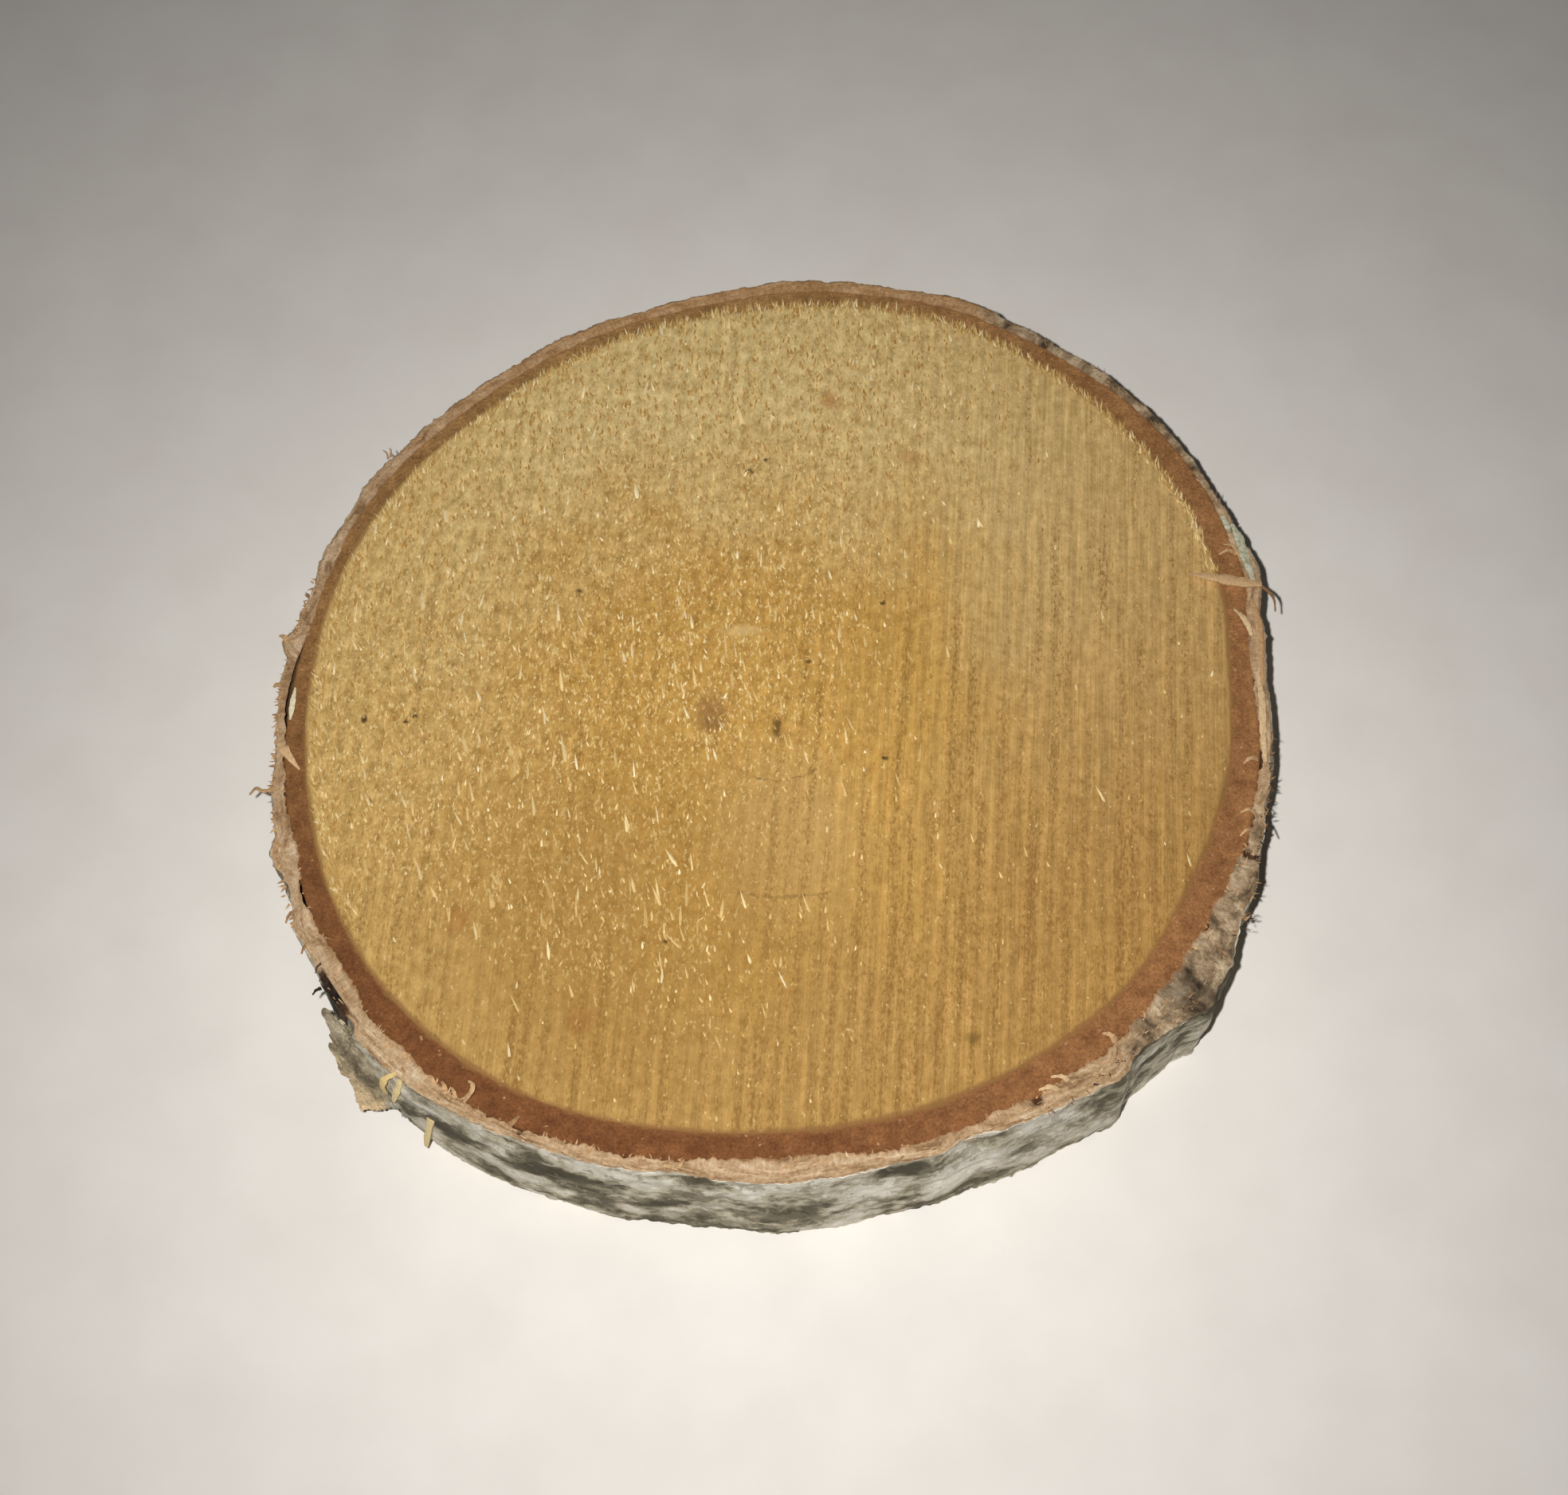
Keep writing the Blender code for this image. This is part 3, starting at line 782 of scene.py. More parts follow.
# angle, height in mm, half width in degrees, half height in mm, shade: lichen-grey and pale patches
SKIN_PATCHES = (
    (248.0, 7.6, 7.0, 4.2, 1.5), (257.0, 9.0, 4.0, 2.2, -1.2), (258.5, 5.4, 4.5, 1.5, 1.2),
    (272.0, 5.5, 9.0, 4.5, 0.7), (281.5, 7.5, 4.0, 3.0, -0.5), (306.0, 3.0, 3.5, 3.0, -0.8),
    (269.5, 1.0, 2.2, 1.0, 1.0), (284.5, 10.6, 4.5, 1.1, 0.7),
    (310.5, 1.5, 2.0, 1.0, 1.1), (312.0, 5.7, 2.8, 2.2, 0.5), (318.0, 6.9, 1.8, 1.1, 1.0),
    (323.0, 10.0, 4.5, 3.6, 1.2), (341.0, 5.0, 13.0, 7.0, 0.9), (236.0, 8.0, 6.0, 5.0, 0.9),
    (291.5, 5.5, 7.0, 5.0, -1.3), (303.0, 8.0, 6.0, 3.5, -0.8), (258.5, 10.4, 5.0, 0.9, -0.9),
    (255.0, 3.5, 3.5, 1.8, -0.6), (230.5, 10.6, 0.8, 0.6, -2.0),
    (320.5, 12.3, 3.5, 2.0, 1.5), (30.0, 6.0, 26.0, 7.0, 0.8), (150.0, 6.0, 16.0, 6.0, 0.5),
    (95.0, 4.0, 16.0, 4.0, -0.5), (241.5, 11.0, 4.0, 2.0, 0.5),
)
# angle, half width in degrees, height in mm: humps and dips of the branch itself
HUMPS = (
    (10, 4, -0.6), (16.5, 4, 0.3), (51, 6, -0.4), (64.5, 5, 0.3), (88, 5, 0.3), (160, 12, -0.2),
    (174, 2.5, 0.9), (201, 3, 0.4), (206, 4, -0.5), (213, 4, -0.4), (272, 12, 0.6), (292, 4, -0.4),
    (308, 6, 0.6), (309, 2.5, 0.6), (321, 3, 0.8), (324, 6, 0.7), (331.5, 4.5, -0.85), (345, 3, -0.4))
# The hollow beside the flap, where the outer layers have come off
HOLLOW_ANGLE = 218.0
HOLLOW_HALF_WIDTH = 5.0


def bump(away):
    """One in the middle, falling smoothly to nothing at one unit to either side."""
    return np.where(abs(away) < 1, np.cos(np.clip(away, -1, 1) * math.pi / 2) ** 2, 0)


def degrees_away(angle, centre):
    return (np.degrees(angle) - centre + 180) % 360 - 180


bark = spin_profile(BAST_IN, BAST_OUT, THICKNESS, (7, 33, 7, 12), RING_STEPS)
bark_walls = ring_walls("outer_bark")
points = get_points(bark)
angle, radius = polar(points)
height = points[:, 2].copy()
share = (radius - BAST_IN) / (BAST_OUT - BAST_IN)
up = height / THICKNESS
inner = wall_radius(bark_walls[0], angle, height)
outer = wall_radius(bark_walls[1], angle, height)
is_skin = share > 0.999
on_top = up > 0.999
on_foot = up < 0.001
round_x = 46 * MM * np.cos(angle)
round_y = 46 * MM * np.sin(angle)
layers = grain_noise(round_x, round_y, height, 2.8 * MM, 2.8 * MM, 1.6 * MM, 2.0)
flakes = grain_noise(round_x, round_y, height, 1.1 * MM, 1.1 * MM, 0.7 * MM, 9.0)
chips = grain_noise(round_x, round_y, height, 0.5 * MM, 0.5 * MM, 0.35 * MM, 12.0)
sheets = smooth_step(layers + 0.5 * flakes, -0.03, 0.05)
skin_relief = 0.10 * sheets + 0.05 * layers + 0.07 * flakes + 0.06 * chips - 0.05
crumbs = grain_noise(round_x, round_y, height, 0.5 * MM, 0.5 * MM, 0.8 * MM, 15.0)
dust = grain_noise(round_x, round_y, height, 0.27 * MM, 0.27 * MM, 0.5 * MM, 16.0)
lumps = grain_noise(round_x, round_y, height, 1.6 * MM, 1.6 * MM, 2.5 * MM, 18.0)
swells = grain_noise(round_x, round_y, height, 4.5 * MM, 4.5 * MM, 5 * MM, 19.0)
ragged = 0.35 + 0.65 * smooth_step(-np.sin(angle), -0.1, 0.4) + 0.5 * bump(
    degrees_away(angle, 322) / 32) + 0.4 * bump(degrees_away(angle, 2) / 28)
lip = 0.42 + ragged * (0.40 * swells + 0.34 * lumps + 0.22 * crumbs + 0.16 * dust)
lip += 0.35 * bump(degrees_away(angle, 219) / 8)
lip_share = (1 - smooth_step(share, 0.0, 0.45)) * np.where(on_top, 1.0, 0.0)
edge_wave = 0.20 * swells + 0.16 * lumps + 0.14 * crumbs + 0.08 * dust
hollow = bump(degrees_away(angle, HOLLOW_ANGLE) / HOLLOW_HALF_WIDTH) * smooth_step(up, 0.25, 0.6)
outer += sum(tall * bump(degrees_away(angle, at) / half) for at, half, tall in HUMPS) * MM
radius = inner + share * (outer - inner) - lip * lip_share * MM
radius += np.where(is_skin, (skin_relief - 0.75 * hollow) * MM, 0)
radius += np.where(on_top | on_foot, share * edge_wave * MM * (1 - hollow), 0)
crack = sum(
    depth * bump(degrees_away(angle, at) / half) * (1 - smooth_step(share, reach - 0.15, reach))
    for at, half, depth, reach in CRACKS)
hollow = hollow * np.where(on_top, smooth_step(share, 0.42, 0.6), 1.0)
x, y = radius * np.cos(angle), radius * np.sin(angle)
rim_grain = grain_noise(x, y, height, 0.4 * MM, 0.4 * MM, MM, 30.0)
rim_lumps = grain_noise(x, y, height, 1.3 * MM, 1.3 * MM, MM, 33.0)
points[:, 0], points[:, 1] = x, y
proud = RIM_PROUD * np.maximum(0.0, -np.sin(angle)) * up
rim_drop = 0.14 * smooth_step(share, 0.82, 1.0)
rim_height = 0.06 + (0.10 * rim_grain + 0.14 * rim_lumps) * (0.4 + 0.7 * ragged) - rim_drop
rim_height -= crack + 0.8 * hollow
points[:, 2] = height + proud + np.where(on_top, rim_height * MM, 0)
points[:, 2] += np.where(on_foot, (0.10 * abs(rim_grain) + 0.12 * share) * MM, 0)
set_points(bark, points)
across_rim = np.where(on_top, (1 - share) * (outer - inner), 0)
wrap = np.stack([round_x, round_y, height + across_rim], axis=1)
patch = sum(
    shade * bump(degrees_away(angle, at) / half) * bump((height / MM - level) / tall)
    for at, level, half, tall, shade in SKIN_PATCHES)
patch -= 1.3 * smooth_step(up, 0.93, 0.99) * bump(degrees_away(angle, 272) / 36)
weathered = sum(much * bump(degrees_away(angle, at) / half) for at, half, much in WEATHERED)
paint(bark, "sawn", np.where(on_top | on_foot, 1 - smooth_step(share, 0.9, 1.0), 0))
paint(bark, "outward", share)
paint(bark, "wrap", wrap)
paint(bark, "patch", patch)
paint(bark, "weathered", weathered)
paint(bark, "hollow", np.maximum(hollow, np.where(on_top, np.minimum(crack * 0.9, 0.7), 0)))

# Birch bark: cork that is tan where it is sawn, with a thin skin of peeling white, grey and olive
# layers drawn out round the branch.
bark_skin, tree = new_material("birch_bark")
sawn = add_node(tree, "Attribute", attribute_name="sawn", out="Fac")
outward = add_node(tree, "Attribute", attribute_name="outward", out="Fac")
wrap = add_node(tree, "Attribute", attribute_name="wrap", out="Vector")
patch = add_node(tree, "Attribute", attribute_name="patch", out="Fac")
weathered = add_node(tree, "Attribute", attribute_name="weathered", out="Fac")
hollow = add_node(tree, "Attribute", attribute_name="hollow", out="Fac")
long_spot = add_node(
    tree, "Mapping", Vector=wrap, Scale=(1 / (6 * MM), 1 / (6 * MM), 1 / (3.4 * MM)))
blotch = add_node(tree, "TexNoise", Vector=long_spot, Scale=1.0, Detail=10.0, Roughness=0.66)
blotch = add_node(
    tree, "Math", operation="MULTIPLY_ADD", Value=patch, Value_001=-0.16, Value_002=blotch)
skin = add_node(tree, "ValToRGB", Fac=blotch, ramp=(
    (0.34, "57513f"), (0.43, "746d5a"), (0.437, "958c77"), (0.472, "a59b84"), (0.479, "c6bca3"),
    (0.53, "d3cab5"), (0.537, "e2dac9"), (0.66, "f2ebdc")))
streak_spot = add_node(
    tree, "Mapping", Vector=wrap, Scale=(1 / (1.3 * MM), 1 / (1.3 * MM), 1 / (0.8 * MM)))
streak = add_node(tree, "TexNoise", Vector=streak_spot, Scale=1.0, Detail=6.0, Roughness=0.7)
streak_tint = add_node(
    tree, "MapRange", data_type="FLOAT_VECTOR", Vector=streak, From_Min_FLOAT3=(0.3, 0.3, 0.3),
    From_Max_FLOAT3=(0.7, 0.7, 0.7), To_Min_FLOAT3=(0.72, 0.71, 0.66),
    To_Max_FLOAT3=(1.18, 1.19, 1.22))
skin = add_node(tree, "VectorMath", operation="MULTIPLY", Vector=skin, Vector_001=streak_tint)
peel_spot = add_node(
    tree, "Mapping", Vector=wrap, Location=(3, 7, 2),
    Scale=(1 / (2.8 * MM), 1 / (2.8 * MM), 1 / (2.2 * MM)))
peel = add_node(tree, "TexNoise", Vector=peel_spot, Scale=1.0, Detail=9.0, Roughness=0.68)
olive = add_node(
    tree, "MapRange", interpolation_type="SMOOTHSTEP", Value=peel, From_Min=0.558,
    From_Max=0.568, To_Min=0.0, To_Max=0.55)
skin = add_node(
    tree, "Mix", data_type="RGBA", Factor_Float=olive, A_Color=skin, B_Color=linear("8f8770"))

fibrous = add_node(
    tree, "Mapping", Vector=wrap, Scale=(1 / (3 * MM), 1 / (3 * MM), 1 / (0.4 * MM)))
cork_patches = add_node(
    tree, "TexNoise", Vector=fibrous, Scale=1.0, Detail=8.0, Roughness=0.65)
cork = add_node(tree, "ValToRGB", Fac=cork_patches, ramp=(
    (0.36, "8c6c4b"), (0.46, "b6946e"), (0.57, "ccad88"), (0.7, "e2ccac")))
grey_patches = add_node(
    tree, "TexNoise", Vector=wrap, Scale=1 / (1.6 * MM), Detail=7.0, Roughness=0.66)
grey_cork = add_node(tree, "ValToRGB", Fac=grey_patches, ramp=(
    (0.34, "4c3e2f"), (0.44, "826d53"), (0.52, "a68c6d"), (0.62, "cbb492")))
split = add_node(tree, "SeparateXYZ", Vector=wrap, out="Y")
top_side = add_node(
    tree, "MapRange", Value=split, From_Min=0.020, From_Max=0.044, To_Min=0.0, To_Max=0.55)
cork = add_node(
    tree, "Mix", data_type="RGBA", Factor_Float=top_side, A_Color=cork, B_Color=linear("c8955f"))
weather_sum = add_node(
    tree, "Math", operation="MULTIPLY_ADD", Value=peel, Value_001=1.2, Value_002=weathered)
is_grey = add_node(
    tree, "MapRange", interpolation_type="SMOOTHSTEP", Value=weather_sum, From_Min=0.8,
    From_Max=1.2, To_Min=0.0, To_Max=1.0)
cork = add_node(tree, "Mix", data_type="RGBA", Factor_Float=is_grey, A_Color=cork, B_Color=grey_cork)
cork_grain = add_node(
    tree, "TexNoise", Vector=wrap, Scale=1 / (0.3 * MM), Detail=4.0, Roughness=0.72)
cork_tint = add_node(
    tree, "MapRange", data_type="FLOAT_VECTOR", Vector=cork_grain,
    From_Min_FLOAT3=(0.3, 0.3, 0.3), From_Max_FLOAT3=(0.7, 0.7, 0.7),
    To_Min_FLOAT3=(0.66, 0.62, 0.55), To_Max_FLOAT3=(1.24, 1.26, 1.30))
cork = add_node(tree, "VectorMath", operation="MULTIPLY", Vector=cork, Vector_001=cork_tint)
stain = add_node(
    tree, "MapRange", Value=patch, From_Min=0.3, From_Max=1.1, To_Min=1.0, To_Max=0.5)
cork = add_node(tree, "VectorMath", operation="SCALE", Vector=cork, Scale=stain)
inner_wall = add_node(
    tree, "MapRange", interpolation_type="SMOOTHSTEP", Value=outward, From_Min=0.0, From_Max=0.12,
    To_Min=0.6, To_Max=0.0)
cork = add_node(
    tree, "Mix", data_type="RGBA", Factor_Float=inner_wall, A_Color=cork, B_Color=linear("9c7049"))
edge_noise = add_node(
    tree, "Math", operation="MULTIPLY_ADD", Value=cork_grain, Value_001=0.5, Value_002=sawn)
is_cork = add_node(
    tree, "MapRange", interpolation_type="SMOOTHSTEP", Value=edge_noise, From_Min=0.5,
    From_Max=0.8, To_Min=0.0, To_Max=1.0)
wall_side = add_node(
    tree, "MapRange", Value=outward, From_Min=0.80, From_Max=0.9, To_Min=1.0, To_Max=0.0)
is_cork = add_node(tree, "Math", operation="MAXIMUM", Value=is_cork, Value_001=wall_side)
colour = add_node(tree, "Mix", data_type="RGBA", Factor_Float=is_cork, A_Color=skin, B_Color=cork)
# In the hollow beside the flap and in the rim's cracks: the dark brown of bare inner bark, with
# painted shade down to near black
bare_bark_and_shade = add_node(tree, "ValToRGB", Fac=peel, ramp=(
    (0.38, "17140f"), (0.48, "2c2118"), (0.56, "5d3d25"), (0.66, "7d5636")))
bare_or_shaded_share = add_node(
    tree, "Math", operation="MULTIPLY_ADD", Value=cork_grain, Value_001=0.5, Value_002=hollow)
bare_or_shaded_share = add_node(
    tree, "MapRange", interpolation_type="SMOOTHSTEP", Value=bare_or_shaded_share, From_Min=0.5, From_Max=0.75,
    To_Min=0.0, To_Max=1.0)
colour = add_node(
    tree, "Mix", data_type="RGBA", Factor_Float=bare_or_shaded_share, A_Color=colour, B_Color=bare_bark_and_shade)
height_sum = add_node(tree, "Math", operation="ADD", Value=streak, Value_001=cork_grain)
nap = add_node(tree, "Bump", Height=height_sum, Strength=0.6, Distance=0.2 * MM)
surface = add_node(
    tree, "BsdfPrincipled", Base_Color=colour, Roughness=0.8, Specular_IOR_Level=0.25, Normal=nap)
add_node(tree, "OutputMaterial", Surface=surface)
finish_piece(bark, "outer_bark_ring", bark_skin)
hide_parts("outer_bark")


# Bark flap
# A scale of the papery outer layers that has come loose at the lower left. It grows out of the rim
# at its right end, and its free end stands off the branch and curls out at the foot.
# Share of the way down, angle, height, stand-off in mm: the flap's two ends
FLAP_ROOT = ((0.0, 236.0, 11.9, -0.25), (1.0, 229.6, 4.4, -0.1))
FLAP_TIP = (
    (0.0, 218.5, 11.7, 1.0), (0.25, 220.3, 9.7, 1.6), (0.42, 221.8, 8.3, 2.0),
    (0.57, 223.3, 7.1, 2.7), (0.61, 224.4, 6.7, 2.2), (0.80, 225.1, 5.4, 2.5),
    (1.0, 226.6, 4.1, 2.9))

bpy.ops.object.select_all(action="DESELECT")
bpy.ops.mesh.primitive_grid_add(x_subdivisions=130, y_subdivisions=90, size=1, location=(0, 0, 0))
flap = bpy.context.object
points = get_points(flap)
along, down = points[:, 0] + 0.5, 0.5 - points[:, 1]
flap_noise = grain_noise(along, down, 0 * along, 0.12, 0.16, 1.0, 3.0)
edge_noise = grain_noise(along, down, 0 * along, 0.035, 0.05, 1.0, 8.0)
root_down, root_angle, root_height, root_stand = zip(*FLAP_ROOT)
tip_down, tip_angle, tip_height, tip_stand = zip(*FLAP_TIP)
frayed = 0.15 + 0.85 * smooth_step(down, 0.1, 0.5)
reach = along * (1 + along ** 4 * frayed * (0.10 * flap_noise + 0.09 * edge_noise))
angle = np.interp(down, root_down, root_angle) * (1 - reach) + reach * np.interp(
    down, tip_down, tip_angle)
height = np.interp(down, root_down, root_height) * (1 - along) + along * np.interp(
    down, tip_down, tip_height)
height += down ** 6 * (0.5 * flap_noise + 0.5 * edge_noise)
height -= (1 - down) ** 8 * 0.4 * abs(edge_noise) * smooth_step(along, 0.1, 0.3)
hinge = 0.62 * (1 - down)
bent = np.clip((along - hinge) / (1 - hinge), 0, 1) ** 1.25
stand_off = np.interp(down, root_down, root_stand) * (1 - bent) + bent * np.interp(
    down, tip_down, tip_stand)
wrinkles = grain_noise(along, down, 0 * along, 0.25, 0.09, 1.0, 14.0)
stand_off += 0.16 * wrinkles + 0.07 * edge_noise + 0.12 * flap_noise
angle, height = np.radians(angle), height * MM
radius = wall_radius(bark_walls[1], angle, height) + stand_off * MM
points = np.stack([radius * np.cos(angle), radius * np.sin(angle), height], axis=1)
set_points(flap, points)
paint(flap, "along", along)
paint(flap, "down", down)
paint(flap, "wrap", np.stack([46 * MM * np.cos(angle), 46 * MM * np.sin(angle), height], axis=1))
add_solidify(flap, 0.3 * MM, 0.0)

# Loose birch skin: grey-olive and cracked along the branch, tan where its layers are fresh.
loose_skin, tree = new_material("loose_birch_skin")
wrap = add_node(tree, "Attribute", attribute_name="wrap", out="Vector")
along = add_node(tree, "Attribute", attribute_name="along", out="Fac")
down = add_node(tree, "Attribute", attribute_name="down", out="Fac")
clouds = add_node(tree, "TexNoise", Vector=wrap, Scale=1 / (2.2 * MM), Detail=8.0, Roughness=0.62)
skin = add_node(tree, "ValToRGB", Fac=clouds, ramp=(
    (0.34, "6b5d47"), (0.44, "8e8066"), (0.5, "a6977b"), (0.6, "bfb194")))
fresh_sum = add_node(tree, "Math", operation="MULTIPLY", Value=down, Value_001=along)
fresh_sum = add_node(
    tree, "Math", operation="MULTIPLY_ADD", Value=clouds, Value_001=0.9, Value_002=fresh_sum)
fresh = add_node(
    tree, "MapRange", interpolation_type="SMOOTHSTEP", Value=fresh_sum, From_Min=0.72,
    From_Max=1.1, To_Min=0.0, To_Max=0.9)
skin = add_node(
    tree, "Mix", data_type="RGBA", Factor_Float=fresh, A_Color=skin, B_Color=linear("dcc197"))
cool_sum = add_node(
    tree, "Math", operation="MULTIPLY_ADD", Value=clouds, Value_001=-0.7, Value_002=along)
cool = add_node(
    tree, "MapRange", interpolation_type="SMOOTHSTEP", Value=cool_sum, From_Min=0.12,
    From_Max=-0.02, To_Min=0.0, To_Max=0.8)
skin = add_node(
    tree, "Mix", data_type="RGBA", Factor_Float=cool, A_Color=skin, B_Color=linear("b0aa9c"))
crack_spot = add_node(
    tree, "Mapping", Vector=wrap, Scale=(1 / (4 * MM), 1 / (4 * MM), 1 / (1.1 * MM)))
cracked = add_node(tree, "TexNoise", Vector=crack_spot, Scale=1.0, Detail=7.0, Roughness=0.7)
crack_gap = add_node(tree, "Math", operation="SUBTRACT", Value=cracked, Value_001=0.5)
crack_gap = add_node(tree, "Math", operation="ABSOLUTE", Value=crack_gap)
crack_dark = add_node(
    tree, "MapRange", Value=crack_gap, From_Min=0.0, From_Max=0.014, To_Min=0.65, To_Max=0.0)
skin = add_node(
    tree, "Mix", data_type="RGBA", Factor_Float=crack_dark, A_Color=skin, B_Color=linear("443a2c"))
fine = add_node(tree, "TexNoise", Vector=wrap, Scale=1 / (0.3 * MM), Detail=3.0, Roughness=0.7)
fine_tint = add_node(
    tree, "MapRange", Value=fine, From_Min=0.3, From_Max=0.7, To_Min=0.7, To_Max=1.25)
skin = add_node(tree, "VectorMath", operation="SCALE", Vector=skin, Scale=fine_tint)
relief = add_node(tree, "Math", operation="ADD", Value=fine, Value_001=cracked)
nap = add_node(tree, "Bump", Height=relief, Strength=0.6, Distance=0.2 * MM)
surface = add_node(
    tree, "BsdfPrincipled", Base_Color=skin, Roughness=0.8, Specular_IOR_Level=0.25, Normal=nap)
add_node(tree, "OutputMaterial", Surface=surface)
finish_piece(flap, "bark_flap", loose_skin)
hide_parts("outer_bark")


# Bark shreds
# Curls, scales and hairs of bark that the saw left hanging on the rim, and two wood shavings that
# hang over the skin below it. Each is a thin strip, or a sliver as the wood's fibres are.
# Path in mm, widths in mm, way that the flat side faces, shade from dark (0) to pale straw (1)
SHREDS = (
    # the long splinter at the right, with its hooked end, and the one below it
    (((41.0, 12.3, 12.3), (43.2, 11.7, 12.7), (45.6, 11.1, 12.9), (48.0, 10.8, 12.8)),
     (0.15, 0.75, 1.25, 1.1, 0.45), (0, 0.2, 1), 0.66),
    (((47.6, 10.9, 12.8), (48.6, 10.2, 12.6), (49.2, 9.5, 12.2), (49.4, 8.6, 11.4)),
     (0.35, 0.3, 0.22, 0.1), (0, 0.2, 1), 0.33),
    (((45.2, 8.4, 12.2), (45.8, 7.4, 12.7), (46.3, 6.4, 12.7), (46.6, 5.4, 12.4)),
     (0.15, 0.5, 0.6, 0.25), (0, 0, 1), 0.75),
    # layers on the rim at the right
    (((45.9, -13.3, 12.0), (46.5, -14.2, 11.8), (47.0, -15.2, 11.4)), (0.3, 0.3, 0.12),
     (1, 0, 0.5), 0.1),
    (((47.0, 9.5, 12.2), (47.4, 6.5, 12.5), (47.3, 3.0, 12.5), (47.2, 0.0, 12.3)),
     (0.3, 0.7, 0.5, 0.3), (0, 0, 1), 0.55),
    (((46.9, 1.5, 12.2), (47.0, -1.5, 12.5), (46.8, -5.0, 12.5), (46.8, -8.0, 12.3)),
     (0.3, 0.6, 0.6, 0.3), (0, 0, 1), 0.75),
    # the largest curl at the lower left
    (((-26.9, -40.9, 12.2), (-26.2, -40.3, 12.9), (-26.1, -39.7, 13.0), (-26.5, -39.3, 12.9)),
     (0.6, 0.45, 0.4, 0.15), (0, 0.4, 1), 0.62),
    # the curl and the peeled strips at the left, and a pale strip of painted light in the slit
    (((-46.4, -10.7, 12.2), (-47.4, -11.1, 12.5), (-48.2, -10.7, 12.2), (-48.9, -11.0, 11.5)),
     (0.4, 0.4, 0.3, 0.15), (0, 0.3, 1), 0.58),
    (((-46.5, -5.6, 12.3), (-45.8, -6.9, 12.9), (-44.9, -8.1, 12.8), (-44.2, -8.9, 12.5)),
     (0.7, 1.0, 0.5, 0.1), (0.2, 0, 1), 0.68),
    # painted light: this pale strip stands in for the lit floor that shows through the slit
    (((-45.4, -0.2, 12.35), (-45.5, -1.8, 12.4), (-45.6, -3.6, 12.35)), (0.15, 0.4, 0.5, 0.2),
     (0, 0, 1), 1.0),
)
# Small curls and hairs: x, y of the root in mm, direction in degrees, length and width in mm, shade
CURLS = (
    # at the right, over the inner bark
    (45.9, 14.7, 175, 1.7, 0.4, 0.60), (46.2, 14.6, 133, 1.8, 0.35, 0.60),
    (46.1, -7.6, 190, 1.5, 0.5, 0.60), (45.4, -13.1, 172, 1.4, 0.4, 0.60),
    (45.0, -14.9, 197, 1.4, 0.4, 0.60), (31.0, -35.4, 135, 1.3, 0.6, 0.60),
    (26.8, -39.2, 153, 1.8, 0.5, 0.72), (25.9, -40.0, 166, 2.0, 0.5, 0.72),
    # at the bottom and the lower left, over the inner bark
    (-8.0, -47.0, 37, 1.0, 0.35, 0.62), (-15.9, -45.6, 37, 1.0, 0.3, 0.55),
    (-22.9, -43.2, 29, 1.3, 0.6, 0.42), (-27.7, -40.8, 95, 1.1, 0.5, 0.60),
    (-28.6, -40.3, 95, 1.2, 0.5, 0.58), (-29.6, -39.7, 100, 1.2, 0.5, 0.60),
    (-32.3, -37.2, 95, 1.0, 0.4, 0.60), (-34.0, -36.1, 90, 0.9, 0.4, 0.60),
    # at the left, over the edge
    (-46.7, 5.0, 135, 1.0, 0.6, 0.55), (-46.9, 0.2, 188, 0.7, 0.6, 0.50),
    (-45.3, -16.2, 218, 1.1, 0.6, 0.50), (-43.4, -22.9, 225, 1.5, 0.4, 0.38),
    (-41.9, -26.1, 228, 1.2, 0.4, 0.35),
    # dark hairs above the flap, and whiskers at the upper left
    (-40.6, -28.0, 232, 1.1, 0.2, 0.15), (-40.2, -29.0, 229, 0.9, 0.2, 0.10),
    (-40.4, -30.4, 209, 1.0, 0.3, 0.00), (-38.4, 25.6, 108, 1.2, 0.2, 0.45),
    (-38.2, 25.8, 85, 1.1, 0.2, 0.45),
)
# The two shavings of wood, in the same terms
SHAVINGS = (
    (((-33.0, -38.4, 12.3), (-34.0, -38.7, 11.8), (-34.5, -39.1, 10.6), (-34.3, -39.3, 9.2)),
     (0.35, 0.6, 0.65, 0.3), (-0.6, -0.7, 0.5), 0.85),
    (((-32.7, -38.6, 12.2), (-32.8, -39.2, 11.6), (-33.3, -39.7, 10.2), (-33.7, -39.9, 8.8)),
     (0.3, 0.5, 0.6, 0.25), (-0.6, -0.8, 0.3), 0.9),
    (((-30.1, -40.7, 9.2), (-30.4, -41.4, 7.8), (-31.0, -42.0, 5.2), (-31.5, -42.3, 2.4)),
     (0.35, 0.75, 0.6, 0.4), (-0.6, -0.8, 0.2), 0.9),
)
# angle, share across the rim, direction from the branch's own, length, width, rise, count: whiskers
WHISKERS = (
    (200, 340, (0.0, 0.14), (120, 240), (0.2, 0.6), (0.09, 0.22), (5, 35), (0.4, 0.8), 150),
    (196, 352, (0.2, 0.95), (75, 105), (0.3, 0.9), (0.07, 0.16), (1, 14), (0.35, 0.85), 420),
    (15, 200, (0.0, 0.9), (40, 140), (0.25, 0.7), (0.07, 0.16), (2, 25), (0.3, 0.7), 330),
    (300, 356, (0.7, 1.0), (-40, 60), (0.3, 0.7), (0.08, 0.2), (-30, 10), (0.0, 0.5), 150),
    (165, 210, (0.85, 1.0), (-60, 60), (0.25, 0.7), (0.14, 0.32), (-15, 10), (0.35, 0.65), 150),
)


